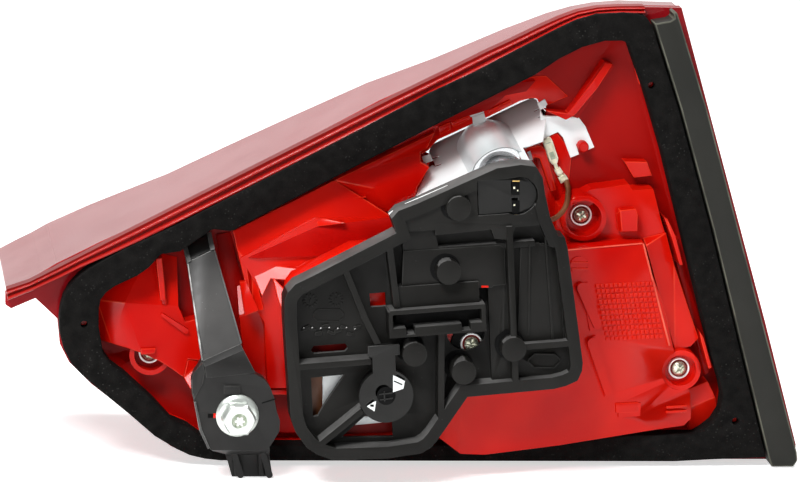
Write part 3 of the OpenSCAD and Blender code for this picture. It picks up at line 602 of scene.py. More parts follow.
def prism(bm, outline, low, high, place=Matrix()):
    """A flat plate: an outline of (x, z) points from one depth to another, in millimetres."""
    verts = [bm.verts.new((x * MM, high * MM, z * MM)) for x, z in outline]
    face = bm.faces.new(verts)
    made = bmesh.ops.extrude_face_region(bm, geom=[face])
    pushed = [item for item in made["geom"] if isinstance(item, bmesh.types.BMVert)]
    bmesh.ops.translate(bm, verts=pushed, vec=(0, (low - high) * MM, 0))
    bmesh.ops.transform(bm, matrix=place, verts=verts + pushed)
    bmesh.ops.recalc_face_normals(bm, faces=bm.faces)
    return verts + pushed


def ring_outline(radius, count, turn=0, squash=1):
    steps = [turn + 2 * math.pi * k / count for k in range(count)]
    return [(radius * math.cos(a), radius * squash * math.sin(a)) for a in steps]


def lathe(bm, profile, place=Matrix(), steps=40):
    """A turned shape round the Y axis from (radius, depth) points in millimetres."""
    chain = [bm.verts.new((radius * MM, depth * MM, 0)) for radius, depth in profile]
    edges = [bm.edges.new(pair) for pair in zip(chain, chain[1:])]
    made = bmesh.ops.spin(bm, geom=chain + edges, cent=(0, 0, 0), axis=(0, 1, 0), steps=steps,
                          angle=2 * math.pi, use_merge=True, use_duplicate=False)
    turned = {vert for face in bm.faces for vert in face.verts}
    return made, turned


def at(x, y, z):
    return Matrix.Translation(Vector((x, y, z)) * MM)


def turned_piece(name, profile, place, material, steps=40, smooth=40):
    bm = bmesh.new()
    lathe(bm, profile, steps=steps)
    bmesh.ops.remove_doubles(bm, verts=bm.verts, dist=1e-6)
    bmesh.ops.recalc_face_normals(bm, faces=bm.faces)
    bmesh.ops.transform(bm, matrix=place, verts=bm.verts)
    return add_piece(bm, name, material, smooth)

# housing relief: wedge beside the bracket

WEDGE = {
    "gasket_left": (-0.5, 7, 56.2), "gasket_mid": (33, 7, 73.9), "ridge_right": (52.8, 6, 61.7),
    "ridge_mid": (38.5, 5.4, 60.3), "peak": (27, 5.2, 61.6), "peak_low": (27.5, 4.2, 58.6),
    "brow_left": (0.9, 5.6, 50.1), "brow_foot": (3.8, 4.6, 46.9), "dark_left": (8.3, 8.5, 46.5),
    "dark_right": (31.4, 10, 47.2), "dark_side": (55.5, 11, 55.8), "step_left": (6.2, 7.5, 45.6),
    "step_right": (31.8, 10, 43.1), "leg_right": (10.2, 2, 30.4), "leg_left": (6.6, 4, 29.2)}
shaded_form("housing_wedge", WEDGE, [
    "gasket_left gasket_mid ridge_right ridge_mid peak brow_left",
    "peak ridge_mid peak_low",
    "brow_left peak peak_low brow_foot",
    "brow_foot peak_low ridge_mid ridge_right dark_side dark_right dark_left",
    "dark_left dark_right step_right step_left",
    "brow_foot dark_left step_left",
    "brow_left brow_foot step_left leg_right leg_left"], 14)

# two facets that turn towards the lamp
BRIGHT_FACET = {
    "left": (4.9, 7.4, 45.6), "top": (27.5, -0.6, 44.5), "right": (21.9, -0.9, 41.1),
    "notch": (12.2, 2.1, 41), "low": (9.1, -0.5, 35.5)}
shaded_form("housing_bright_facet", BRIGHT_FACET, ["left top right notch low"], 12)
BRIGHT_TAIL = {
    "top": (12.6, 2.6, 42), "right": (16.6, -1.2, 38.1), "foot": (15.6, -5.1, 31.5),
    "left": (14.3, -2.4, 34.9)}
shaded_form("housing_bright_tail", BRIGHT_TAIL, ["top right foot left"], 8)

CHANNEL = {
    "top_left": (2, 13.4, 36.5), "top_right": (5, 13.4, 37.5), "bend_right": (8.7, 6.5, 29),
    "bend_left": (2.5, 7, 27.2), "side": (15.7, 5, 25.5), "side_foot": (18.5, 6, 19),
    "end_right": (20, 10, 0), "end_left": (13.5, 10, 0), "inner": (4.5, 9, 14)}
shaded_form("housing_channel", CHANNEL, [
    "top_left top_right bend_right bend_left",
    "bend_left bend_right side side_foot end_right end_left inner"], 14)

CHANNEL_BAR = {"a": (12.7, 5, 2.2), "b": (19.5, 5, 2.3), "c": (19.5, 5, 0.4), "d": (12.7, 5, 0.4)}
shaded_form("housing_channel_bar", CHANNEL_BAR, ["a b c d"], 14)

# housing relief: fold and ridge over the shield

FOLD = {
    "left": (33, 7.2, 73.8), "lip": (45.3, 6.4, 71.5), "right": (60.8, 6.2, 71.9),
    "tip": (64.8, 7, 78.6), "tab_low": (61.9, 8.5, 80), "tab_high": (61.8, 9, 83.4),
    "corner": (64.2, 9.2, 84.8), "gasket": (66.6, 9.6, 90), "under_left": (39.2, 8, 68),
    "under_right": (60.4, 9, 65.9), "under_end": (52.9, 8.5, 62.2)}
shaded_form("housing_fold", FOLD, [
    "left lip right tip tab_low tab_high corner gasket",
    "left under_left under_end under_right right lip"], 14, 0.3, 30, 60)

TOP_RIDGE = {
    "foot_left": (103.3, 9, 98), "knee": (111, 8, 97.3), "side": (119.3, 8, 108.7),
    "top": (123.3, 9, 114.7), "top_right": (125.7, 9, 114), "right": (120.5, 8, 105.7),
    "low_right": (113.4, 8, 96.6), "foot": (110.6, 9, 94.8)}
shaded_form("housing_top_ridge", TOP_RIDGE, [
    "foot_left knee low_right foot", "knee side top top_right right low_right"], 14)

# housing relief: left pocket with its ledge over a screw

POCKET = {
    "far_top": (-45, 10.5, 31.5), "peak": (-27.5, 13.6, 47.7), "peak_right": (-18.4, 13.6, 45.7),
    "right": (-18, 7.5, 30), "ledge_left": (-36, 7.2, 31.3), "turn_foot": (-34.7, 6, 16),
    "turn_low": (-40, 7.5, 17.3), "turn_far": (-45, 11, 18), "spout": (-15.5, 7, 25),
    "spout_right": (-9.7, 7, 26.5), "lip_right": (-9.4, 5.5, 12), "lip": (-14.5, 5.5, 12.5),
    "curve_1": (-15.8, 5, 6.3), "curve_2": (-19.8, 5, 9.2), "curve_3": (-24.2, 5, 12),
    "curve_4": (-30, 5.3, 14.5)}
shaded_form("housing_pocket", POCKET, [
    "far_top peak peak_right right ledge_left",
    "far_top ledge_left turn_foot turn_low turn_far",
    "ledge_left right spout spout_right lip_right lip curve_1 curve_2 curve_3 curve_4 turn_foot"],
    13.9)
POCKET_TOE = {
    "lip": (-14.5, 5.5, 12.4), "lip_right": (-9.3, 6.5, 11.7), "toe_right": (-9.5, 2.5, 4.7),
    "toe": (-13.5, 2, 2.8), "heel": (-15.8, 5, 6.3)}
shaded_form("housing_pocket_toe", POCKET_TOE, ["lip lip_right toe_right toe heel"], 8)
POCKET_RIB = {
    "top": (-26, 6, 46.7), "top_right": (-24, 6, 47.2), "foot_right": (-22.4, 5.5, 32.8),
    "foot": (-24.2, 5.5, 32.5)}
shaded_form("housing_pocket_rib", POCKET_RIB, ["top top_right foot_right foot"], 14)
POCKET_NOTCH = {
    "left": (-30.6, 3.6, 16.5), "right": (-25.4, 3.6, 16.7), "right_foot": (-25.7, 3.4, 15),
    "left_foot": (-30.4, 3.4, 14.4)}
shaded_form("housing_pocket_notch", POCKET_NOTCH, ["left right right_foot left_foot"], 7)

# housing relief: blocks and walls right of the lamp box

BOSS_BLOCK = {
    "left": (128.3, 3.5, 64), "top": (129, 1, 65.7), "top_right": (134.4, 1, 66.3),
    "right": (135, 0.6, 64.6), "foot_right": (135.2, 0.6, 58.6), "foot": (130, 1, 58.3),
    "foot_left": (129.1, 3.5, 58)}
shaded_form("housing_boss_block", BOSS_BLOCK, [
    "top top_right right foot_right foot", "left top foot foot_left"], 8)
COLUMN = {
    "top": (138, 4.6, 55.5), "top_right": (145.8, 4.6, 57.4), "waist": (149, 4.8, 47),
    "low_right": (159, 5, 20.8), "end_right": (156.4, 4.6, 18), "end": (150.7, 3.4, 17),
    "low": (145.5, 2, 32.3), "bend": (141.7, 1, 43.6), "left": (138.4, 0.6, 53.7)}
shaded_form("housing_column", COLUMN, [
    "top top_right waist bend left", "waist low_right end_right end low bend"], 14)
SLIVER_UPPER = {
    "top": (144.2, 1.4, 63.5), "top_right": (145.4, 1.4, 62.8), "mid_right": (148.2, 1, 57.4),
    "foot_right": (151.4, 1, 47.2), "foot": (150.4, 1, 47), "mid": (147.1, 1.4, 56.6)}
shaded_form("housing_sliver_upper", SLIVER_UPPER, [
    "top top_right mid_right foot_right foot mid"], 14)
SLIVER_LOWER = {
    "top": (158.5, 2, 24), "right": (160, 1.6, 21.7), "foot_right": (163.4, 1.4, 11.4),
    "foot": (162.3, 1.4, 10.8), "mid": (159.4, 1.8, 20.2)}
shaded_form("housing_sliver_lower", SLIVER_LOWER, ["top right foot_right foot mid"], 14)
CORNER = {
    "left": (154.5, 5, 2.2), "right": (163.2, 6, 5.4), "edge_right": (166, 5.5, 0),
    "edge": (156.7, 4.6, -3.6), "side": (167.8, 8, -6.6), "foot_right": (161.4, 9, -13.8),
    "foot": (158.6, 9, -14.7)}
shaded_form("housing_corner", CORNER, [
    "left right edge_right edge", "edge edge_right side foot_right foot"], 14)
RIGHT_SHELF = {
    "left": (131, 8, 81), "right": (138.8, 8, 81), "foot_right": (141, 9, 76),
    "foot": (134.7, 9, 75.2)}
shaded_form("housing_right_shelf", RIGHT_SHELF, ["left right foot_right foot"], 14)
WALL_RIB = {
    "top": (129.7, 7, 121.6), "top_right": (130.5, 7, 121.6), "foot_right": (135.3, 7, 107.8),
    "foot": (134.6, 7, 107.4)}
shaded_form("housing_wall_rib", WALL_RIB, ["top top_right foot_right foot"], 9)

# marks on the slanted lamp box

BOX_TURN = math.radians(12.7)
BOX_CORNER = at(113.9, -8.2, 0)
BOX_FACE = BOX_CORNER @ Matrix.Rotation(BOX_TURN, 4, "Z")
ON_FACE = 1 / math.cos(BOX_TURN)


def box_mark(bm, outline, height, lift=0.3):
    """A raised mark on the box: its outline is (x, z) in millimetres, x measured as on the frame."""
    flat = [((x - 113.9) * ON_FACE, z) for x, z in outline]
    prism(bm, flat, lift, -height, BOX_FACE)


def box_piece(name, outlines, height, width=0.25, segments=2):
    bm = bmesh.new()
    for outline in outlines:
        box_mark(bm, outline, height)
    return add_piece(round_edges(bm, width, segments=segments), name, housing_red)


def long_bump(start, end, start_width, end_width):
    """Outline of a tapered bar with round ends."""
    along = Vector(end) - Vector(start)
    across = Vector((along.y, -along.x)).normalized()
    outline = []
    for centre, half, first in ((Vector(start), start_width / 2, 0), (Vector(end), end_width / 2, 1)):
        for k in range(9):
            turn = math.pi * (k / 8 + first)
            offset = across * math.cos(turn) - along.normalized() * math.sin(turn)
            outline.append(tuple(centre + offset * half))
    return outline


box_piece("housing_box_bumps", [
    long_bump((115.2, 41.4), (121.2, 28.2), 3.6, 2.8),
    long_bump((119.8, 22.2), (126.2, 4.6), 3.6, 2.4)], 1.6, 0.5, 3)
box_piece("housing_box_label", [[(129.5, 0.6), (137.5, 0.5), (137.6, -3), (129.7, -3)]], 0.8)
box_piece("housing_box_bars", [
    [(147.8, -1.5), (155, -1.5), (155, -2.3), (147.8, -2.3)],
    [(147.8, -3.2), (155, -3.1), (155, -4), (147.8, -4)]], 0.9, 0.15)

GRID_COLUMNS = 13
GRID_ROWS = 11
GRID_LOW = (124.3, 23.0)
GRID_HIGH = (119.9, 41.5)
GRID_STEP = 1.6
GRID_CELL = (1.15, 1.25)
bm = bmesh.new()
for row in range(GRID_ROWS):
    share = row / (GRID_ROWS - 1)
    left = GRID_LOW[0] + (GRID_HIGH[0] - GRID_LOW[0]) * share + 0.6
    bottom = GRID_LOW[1] + (GRID_HIGH[1] - GRID_LOW[1]) * share - 0.6
    for column in range(GRID_COLUMNS):
        x = left + column * GRID_STEP
        box_mark(bm, [(x, bottom), (x + GRID_CELL[0], bottom),
                      (x + GRID_CELL[0], bottom + GRID_CELL[1]), (x, bottom + GRID_CELL[1])], 0.5)
add_piece(round_edges(bm, 0.12, segments=1), "housing_box_grid", housing_red)

PUNCHED = {6: (0, 1, 2, 3, 5, 6), 5: (0, 2, 5, 9, 10, 11), 4: (2, 3, 7, 9, 11), 3: (1, 2, 8, 10)}
bm = bmesh.new()
for row, columns in PUNCHED.items():
    share = row / (GRID_ROWS - 1)
    for column in columns:
        x = GRID_LOW[0] + (GRID_HIGH[0] - GRID_LOW[0]) * share + 1.2 + column * GRID_STEP
        z = GRID_LOW[1] + (GRID_HIGH[1] - GRID_LOW[1]) * share
        box_mark(bm, [(x + dx, z + dz) for dx, dz in ring_outline(0.55, 10)], 0.75)
add_piece(round_edges(bm, 0.2), "housing_box_punches", housing_red, 60)

bm = bmesh.new()
ring = ring_outline(3, 28)
prism(bm, ring, 0.3, -0.5)
inner = ring_outline(2.6, 28)
add_piece(bm, "housing_box_disc", housing_red)
bpy.data.objects["housing_box_disc"].data.transform(BOX_FACE @ at(0, 0, 49))
box_piece("housing_box_disc_bars", [
    [(111.3, 50.4), (117.2, 50.1), (117.2, 49.6), (111.3, 49.9)],
    [(111.4, 48.3), (117.2, 48), (117.2, 47.2), (111.4, 47.5)]], 0.9, 0.15)

# heat shield: one bent sheet with a dome over the bulb

SHIELD_PLACE = (at(88.1, 6, 78.1) @ Matrix.Rotation(math.radians(-26.4), 4, "Y")
                @ Matrix.Rotation(math.radians(36), 4, "X"))
SHIELD_FACE = SHIELD_PLACE @ Matrix.Rotation(math.radians(-90), 4, "X")
SHEET_TOP = 1.8
SHEET_T = 0.5
DOME_R = 8.9
DOME_LOW = 1.6
DOME_BALL = 12


def sheet_form(bm, outline, height=SHEET_TOP):
    """A flat face in the shield's plane, from (across, up) points in millimetres."""
    return bm.faces.new([bm.verts.new((x * MM, y * MM, height * MM)) for x, y in outline])


def bend_edge(bm, face, first, last, drop, out=0):
    """Folds a strip back along one edge of a flat face."""
    pair = {face.verts[:][first], face.verts[:][last]}
    edge = next(e for e in face.edges if set(e.verts) == pair)
    made = bmesh.ops.extrude_edge_only(bm, edges=[edge])
    pushed = [item for item in made["geom"] if isinstance(item, bmesh.types.BMVert)]
    bmesh.ops.translate(bm, verts=pushed, vec=(0, out * MM, -drop * MM))
    return edge


def finish_sheet(bm, name, material, thickness=SHEET_T, place=SHIELD_PLACE, smooth=30):
    """Gives a bent face its thickness and puts it in place."""
    bmesh.ops.recalc_face_normals(bm, faces=bm.faces)
    if sum(face.normal.z for face in bm.faces) < 0:
        bmesh.ops.reverse_faces(bm, faces=bm.faces)
    bmesh.ops.solidify(bm, geom=bm.faces[:], thickness=thickness * MM)
    bmesh.ops.recalc_face_normals(bm, faces=bm.faces)
    round_edges(bm, 0.12, segments=1)
    bmesh.ops.transform(bm, matrix=place, verts=bm.verts)
    return add_piece(bm, name, material, smooth)


SHEET_OUTLINE = [
    (-14.2, 21.6), (17.1, 21.6), (20.6, 20.8), (22.2, 19.4), (22, 15.5), (19.6, 15.4),
    (19.6, 15.0), (21.9, 15.1), (21.7, 12.3), (19.7, 12.2), (19.7, 11.8), (22, 11.9),
    (22.3, 10.9), (17.5, 1.7), (12, 2.4), (10.5, 3), (10.5, -5.6), (8.2, -5.6),
    (8.2, 13), (6, 17.6), (0, 19.9), (-6, 17.6), (-8.2, 13), (-8.2, -5.6), (-11.6, -5.6), (-11.6, 1.9),
    (-14.4, 2), (-14.6, -5), (-17.3, -4.7), (-17.2, 2.3), (-20.6, 2.5), (-20.9, -4.5),
    (-33, -3.4), (-36.6, 1), (-30.3, 0.8), (-29.3, 3.5), (-20.7, 12.6), (-19, 13), (-18.5, 11.7),
    (-16.2, 11.5), (-16.2, 11.9), (-18.4, 12.3), (-18.2, 15.2), (-15.9, 15), (-15.9, 15.4),
    (-18, 15.8), (-18.3, 18.6), (-16.6, 20.7)]
bm = bmesh.new()
sheet = sheet_form(bm, SHEET_OUTLINE)
folded = bend_edge(bm, sheet, 0, 1, 3.2)
bmesh.ops.bevel(bm, geom=[folded], offset=0.9 * MM, segments=4, profile=0.5, affect="EDGES",
                material=-1)
shield = finish_sheet(bm, "heat_shield_sheet", shield_metal)
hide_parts("heat_shield")

# the dome, a half tube with a ball end, pressed out of the sheet
bm = bmesh.new()
dome_profile = [(0.01, DOME_BALL + DOME_R)]
for k in range(1, 9):
    turn = math.pi / 2 * k / 8
    dome_profile.append((DOME_R * math.sin(turn), DOME_BALL + DOME_R * math.cos(turn)))
dome_profile += [(DOME_R, 8), (DOME_R, 4), (DOME_R, DOME_LOW)]
lathe(bm, dome_profile, steps=56)
bmesh.ops.remove_doubles(bm, verts=bm.verts, dist=1e-6)
bmesh.ops.bisect_plane(bm, geom=bm.verts[:] + bm.edges[:] + bm.faces[:], dist=1e-7,
                       plane_co=(0, 0, (SHEET_TOP - 0.3) * MM), plane_no=(0, 0, 1), clear_inner=True)
bmesh.ops.recalc_face_normals(bm, faces=bm.faces)
for vert in bm.verts:
    # the pressed dome flares into the sheet
    rise = (vert.co.z / MM - SHEET_TOP + 0.3) / 3
    if rise < 1:
        flare = 1 + 0.13 * (1 - max(rise, 0)) ** 2
        vert.co.x *= flare
        vert.co.y = (vert.co.y - 6 * MM) * (1 + (flare - 1) * 0.5) + 6 * MM
bmesh.ops.solidify(bm, geom=bm.faces[:], thickness=0.4 * MM)
bmesh.ops.recalc_face_normals(bm, faces=bm.faces)
bmesh.ops.transform(bm, matrix=SHIELD_PLACE, verts=bm.verts)
add_piece(bm, "heat_shield_dome", dome_metal, 50)

# clips of the sheet hook over the housing's wall
FRONT = Matrix.Rotation(math.radians(90), 4, "X")
CLIP_DEPTH = 13.2


def front_sheet(name, outline, folded=None, drop=3):
    """A small flat sheet that faces the camera's side, with one edge folded back."""
    bm = bmesh.new()
    face = sheet_form(bm, outline, 0)
    if folded is not None:
        bend_edge(bm, face, *folded, drop)
    return finish_sheet(bm, name, shield_metal, place=at(0, CLIP_DEPTH, 0) @ FRONT)


front_sheet("heat_shield_clip", [(80, 91.2), (84.3, 93.4), (83.4, 96.1), (79.4, 94.7)], (2, 3))
front_sheet("heat_shield_clip_top", [(78.9, 94.5), (83.5, 96.3), (82.4, 97.7), (78.1, 96)])
front_sheet("heat_shield_clip_right", [(101.3, 99.5), (103.8, 101.1), (104.9, 99.2), (102.5, 97.1)])
front_sheet("heat_shield_clip_left", [(63, 80.8), (65.8, 81.8), (66.8, 79.5), (63.8, 78.4)])
front_sheet("heat_shield_flat_ear", [
    (102.3, 97.4), (103.4, 95.4), (104.5, 95), (112, 95), (115.7, 94.9), (118.1, 91.9),
    (121.5, 84.7), (119.4, 83.8), (118.3, 86.3), (116.6, 86.8), (115.2, 85.6), (116.4, 82.2),
    (113.5, 81), (110.6, 88), (108.8, 89.8), (105.9, 88.4), (103.8, 86.7), (102.9, 90)], (2, 3), -0.9)

# the pin stands in the ear's slot
turned_piece("housing_shield_pin", [(0.01, -4), (1.4, -4), (1.8, -3.5), (1.85, 1), (0.01, 1)],
             at(117.2, 13.4, 85.4), housing_red)

# red walls of the housing round the shield
bm = bmesh.new()
prism(bm, [(56, 79), (63.8, 82), (65.2, 83), (67.8, 86.2), (68.6, 86.8), (85.3, 94.8), (95.6, 100.2),
           (99.3, 101.2), (101.4, 101), (102.9, 98), (104.9, 98.8), (112, 102), (104, 109), (88, 108),
           (66, 98), (52, 86)], 13.6, 16)
prism(bm, [(52, 82), (66, 79.6), (65.4, 77), (60.9, 66.4), (57, 63), (50, 60)], 13.8, 16)
prism(bm, [(95.8, 84.6), (103.9, 86.9), (108.5, 89.5), (114, 83), (113, 60), (100, 58), (97, 76)],
      13.6, 15)
add_piece(round_edges(bm, 0.4), "housing_shield_wall", housing_red)
bm = bmesh.new()
prism(bm, [(68, 91.2), (72, 93), (72.4, 90.4), (68.6, 88.4)], 12.4, 14)
prism(bm, [(72.4, 92.6), (78.4, 95.6), (78.9, 93.9), (73, 91)], 12.8, 14)
prism(bm, [(84.6, 97), (92, 100.8), (92.8, 99.4), (85.2, 95.4)], 12.6, 14)
prism(bm, [(96.8, 83.4), (98.3, 85), (102.7, 85.8), (104.3, 84.4), (108.7, 70.6), (106.8, 69.9),
           (102.4, 81.4), (99.1, 81.8)], 10, 14)
add_piece(round_edges(bm, 0.4), "housing_shield_blocks", housing_red)

# terminal on the shield's tongue: rolled blade, window, neck and two crimps

TERMINAL_PLACE = at(106.5, 12.4, 83.4) @ Matrix.Rotation(math.radians(-20.7), 4, "Y")
bm = bmesh.new()
BLADE = [(-1.2, 4.6), (1.1, 4.9), (1.6, 4), (1.6, -3.2), (0.9, -4.6), (-0.9, -4.6), (-1.6, -3.2),
         (-1.6, 3.6)]
prism(bm, BLADE, -0.4, 0.8, TERMINAL_PLACE)
for side in (-1, 1):
    prism(bm, [(side * 1.6, 3.4), (side * 0.95, 3.4), (side * 0.95, -3), (side * 1.6, -3)],
          -1.1, 0.2, TERMINAL_PLACE)
prism(bm, [(-0.5, 2.6), (0.5, 2.6), (0.5, 0.6), (-0.5, 0.6)], -0.75, 0, TERMINAL_PLACE)
prism(bm, [(-0.65, -4.2), (0.65, -4.2), (0.6, -7), (-0.6, -7)], -0.9, 0.6, TERMINAL_PLACE)
CRIMP_PLACE = at(109.4, 12.1, 76.6) @ Matrix.Rotation(math.radians(-33), 4, "Y")
prism(bm, [(-1.1, 1.2), (1.1, 1.2), (1.2, -0.9), (-1.2, -0.9)], -1.5, 0.9, CRIMP_PLACE)
prism(bm, [(-0.8, -0.7), (0.8, -0.7), (0.8, -1.8), (-0.8, -1.8)], -1.1, 0.9, CRIMP_PLACE)
prism(bm, [(-1.35, -1.6), (1.35, -1.6), (1.5, -3.8), (-1.5, -3.8)], -1.6, 1, CRIMP_PLACE)
terminal = add_piece(round_edges(bm, 0.22), "lead_terminal_formed", tinned)
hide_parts("lead_terminal")
bm = bmesh.new()
prism(bm, [(-0.75, -0.2), (0.75, -0.2), (0.75, -2.8), (-0.75, -2.8)], -0.5, 0, TERMINAL_PLACE)
prism(bm, [(-0.85, 3.2), (0.85, 3.2), (0.85, 2.9), (-0.85, 2.9)], -0.5, 0, TERMINAL_PLACE)
add_piece(bm, "lead_terminal_window", recess_green)

# earth lead: from the crimp down behind the carrier's edge

LEAD_D = 1.8
LEAD_POINTS = [
    (111.6, 12.2, 74.9), (111.9, 11.6, 74), (112.1, 10.8, 73.2), (112.25, 9.9, 72.4),
    (112.3, 9, 71.8), (112.2, 7.7, 71.3), (112, 6.4, 70.9), (111.7, 4.9, 70.5),
    (111.4, 3.4, 70), (111.1, 1.9, 69.5), (110.8, 0.4, 69), (110.3, -1.1, 68.3),
    (109.6, -2.6, 67.4), (108.6, -4.3, 66.4), (107.4, -6, 65.7), (106.2, -7.6, 65.2),
    (104.9, -9.2, 64.9), (102.2, -12.2, 64.6), (98.2, -17, 64.8)]


def lead_curve(name, points, diameter):
    curve = bpy.data.curves.new(name, "CURVE")
    curve.dimensions = "3D"
    curve.bevel_depth = diameter / 2 * MM
    curve.bevel_resolution = 4
    curve.resolution_u = 4
    curve.use_fill_caps = True
    spline = curve.splines.new("NURBS")
    spline.points.add(len(points) - 1)
    for point, place in zip(spline.points, points):
        point.co = (*(Vector(place) * MM), 1)
    spline.order_u = 3
    spline.use_endpoint_u = True
    curve.materials.append(lead_brown)
    lead = bpy.data.objects.new(name, curve)
    bpy.context.scene.collection.objects.link(lead)
    return lead


earth_lead = lead_curve("earth_lead_cable", LEAD_POINTS, LEAD_D)
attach(earth_lead, "root")
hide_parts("earth_lead")

# cross-head screws: a washer rim painted white as its highlight, pan head, a pressed cross and a dark red
# seat painted as the shade in the groove


def pressed_cross(bm, arm, length, depth):
    """Presses a tapered cross into the top of a turned head."""
    for vert in bm.verts:
        x, z = vert.co.x / MM, vert.co.z / MM
        near, far = sorted((abs(x), abs(z)))
        reach = math.hypot(x, z)
        if near < arm and far < length and vert.co.y < 0:
            vert.co.y += depth * MM * (1 - 0.6 * reach / length)


def cross_screw(name, node, place, turn):
    head = bmesh.new()
    profile = [(0.02, -2.1)] + [(0.13 * k, -2.1 + 0.9 * (0.13 * k / 2.4) ** 2) for k in range(1, 18)]
    profile += [(2.35, -1), (2.45, -0.6), (2.45, 0.4)]
    lathe(head, profile, steps=72)
    bmesh.ops.remove_doubles(head, verts=head.verts, dist=1e-6)
    pressed_cross(head, 0.34, 1.7, 1.3)
    bmesh.ops.recalc_face_normals(head, faces=head.faces)
    turned = place @ Matrix.Rotation(turn, 4, "Y")
    bmesh.ops.transform(head, matrix=turned, verts=head.verts)
    piece = add_piece(head, name + "_head", screw_zinc, 25)
    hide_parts(node)
    turned_piece(name + "_rim", [(3.05, 0.3), (3.0, -0.5), (3.2, -0.75), (3.5, -0.75), (3.7, -0.5),
                                 (3.7, 0.3)], place, highlight_white, 48)
    # painted shade: a dark red disc fills the groove between the head and the rim
    turned_piece(name + "_seat", [(0.01, -0.1), (3.1, -0.1), (3.1, 0.5)], place, shade_dark_red,
                 32)


def screw_place(node, lift=0):
    low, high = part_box(node)
    return Matrix.Translation(((low[0] + high[0]) / 2, low[1] + (2.1 + lift) * MM,
                               (low[2] + high[2]) / 2))


SCREW_TURNS = {"screw_1": 0.35, "screw_2": 0.9, "screw_3": 0.2, "screw_4": 0.6}
SCREW_LIFT = {"screw_3": -8}
for screw_name, turn in SCREW_TURNS.items():
    cross_screw(screw_name, screw_name, screw_place(screw_name, SCREW_LIFT.get(screw_name, 0)), turn)
# painted shadow: a black ring round screw 3, where the carrier's hole shades the housing
turned_piece("screw_3_well", [(3.6, 0.2), (3.7, -0.2), (6.7, -0.4), (6.9, 1)],
             screw_place("screw_3", -8), shade_black, 40)

# clamp bolt: flange, hexagon with a chamfer, star recess

BOLT_LOW, BOLT_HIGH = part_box("flange_bolt")
BOLT_TOP = BOLT_LOW[1] / MM
BOLT_SEAT = -20.05
HEX_R = 10 / math.sqrt(3)
RECESS_R = 2.45
bm = bmesh.new()
lathe(bm, [(RECESS_R + 1.5, BOLT_SEAT - 2.2), (5.6, BOLT_SEAT - 1.9), (6.5, BOLT_SEAT - 1.5),
           (7.1, BOLT_SEAT - 0.9), (7.1, BOLT_SEAT)], steps=64)
bmesh.ops.recalc_face_normals(bm, faces=bm.faces)
bolt = add_piece(bm, "flange_bolt_flange", zinc, 40)
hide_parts("flange_bolt")


def hex_outline(radius, count, turn):
    """A hexagon with its corners at the radius, as evenly turned points."""
    outline = []
    for k in range(count):
        angle = 2 * math.pi * k / count
        side = (angle % (math.pi / 3)) - math.pi / 6
        reach = radius * math.cos(math.pi / 6) / math.cos(side)
        outline.append((reach * math.cos(angle + turn), reach * math.sin(angle + turn)))
    return outline


def star_outline(outer, inner, count, lobes=6):
    outline = []
    for k in range(count):
        angle = 2 * math.pi * k / count
        reach = inner + (outer - inner) * (0.5 + 0.5 * math.cos(angle * lobes)) ** 0.7
        outline.append((reach * math.cos(angle), reach * math.sin(angle)))
    return outline


def stacked(bm, levels, closed=True):
    """Joins outlines of equal count, each at its own depth, into one skin."""
    rings = []
    for outline, depth in levels:
        rings.append([bm.verts.new((x * MM, depth * MM, z * MM)) for x, z in outline])
    for low, high in zip(rings, rings[1:]):
        for k in range(len(low)):
            after = (k + 1) % len(low)
            bm.faces.new((low[k], low[after], high[after], high[k]))
    if closed:
        bm.faces.new(rings[-1])
    bmesh.ops.recalc_face_normals(bm, faces=bm.faces)


RING = 48
BOLT_TURN = math.radians(2)
bm = bmesh.new()
stacked(bm, [
    (hex_outline(HEX_R, RING, BOLT_TURN), BOLT_SEAT - 1.4),
    (hex_outline(HEX_R, RING, BOLT_TURN), BOLT_TOP + 0.9),
    ([(0.5 * (a[0] + b[0]), 0.5 * (a[1] + b[1])) for a, b in zip(
        hex_outline(HEX_R - 0.5, RING, BOLT_TURN), ring_outline(4.75, RING, BOLT_TURN))], BOLT_TOP),
    (ring_outline(RECESS_R + 0.25, RING, BOLT_TURN), BOLT_TOP),
    (ring_outline(RECESS_R, RING, BOLT_TURN), BOLT_TOP + 0.25)], False)
add_piece(bm, "flange_bolt_hexagon", zinc, 25)
bm = bmesh.new()
stacked(bm, [
    (ring_outline(RECESS_R, RING), BOLT_TOP + 0.25), (ring_outline(RECESS_R, RING), BOLT_TOP + 0.8),
    (star_outline(RECESS_R - 0.2, 1.7, RING), BOLT_TOP + 0.85),
    (star_outline(RECESS_R - 0.35, 1.6, RING), BOLT_TOP + 1.3)])
add_piece(bm, "flange_bolt_recess", recess_green, 25)
# painted highlight: a near-white star at the bottom of the recess
bm = bmesh.new()
prism(bm, star_outline(1.75, 0.95, RING), BOLT_TOP + 0.9, BOLT_TOP + 1.5, at(0.2, 0, -0.4))
add_piece(bm, "flange_bolt_star", highlight_white, 30)

# bulb carrier: panels, painted shade round the bosses, windows and moulding marks


def carrier_plates(name, outlines, top, base, material=carrier_grey, width=0.25):
    """Flat plates on or behind the carrier, from outlines of (x, z) in millimetres."""
    bm = bmesh.new()
    for outline in outlines:
        prism(bm, outline, top, base)
    return add_piece(round_edges(bm, width), name, material)


def moved(outline, x, z):
    return [(x + dx, z + dz) for dx, dz in outline]


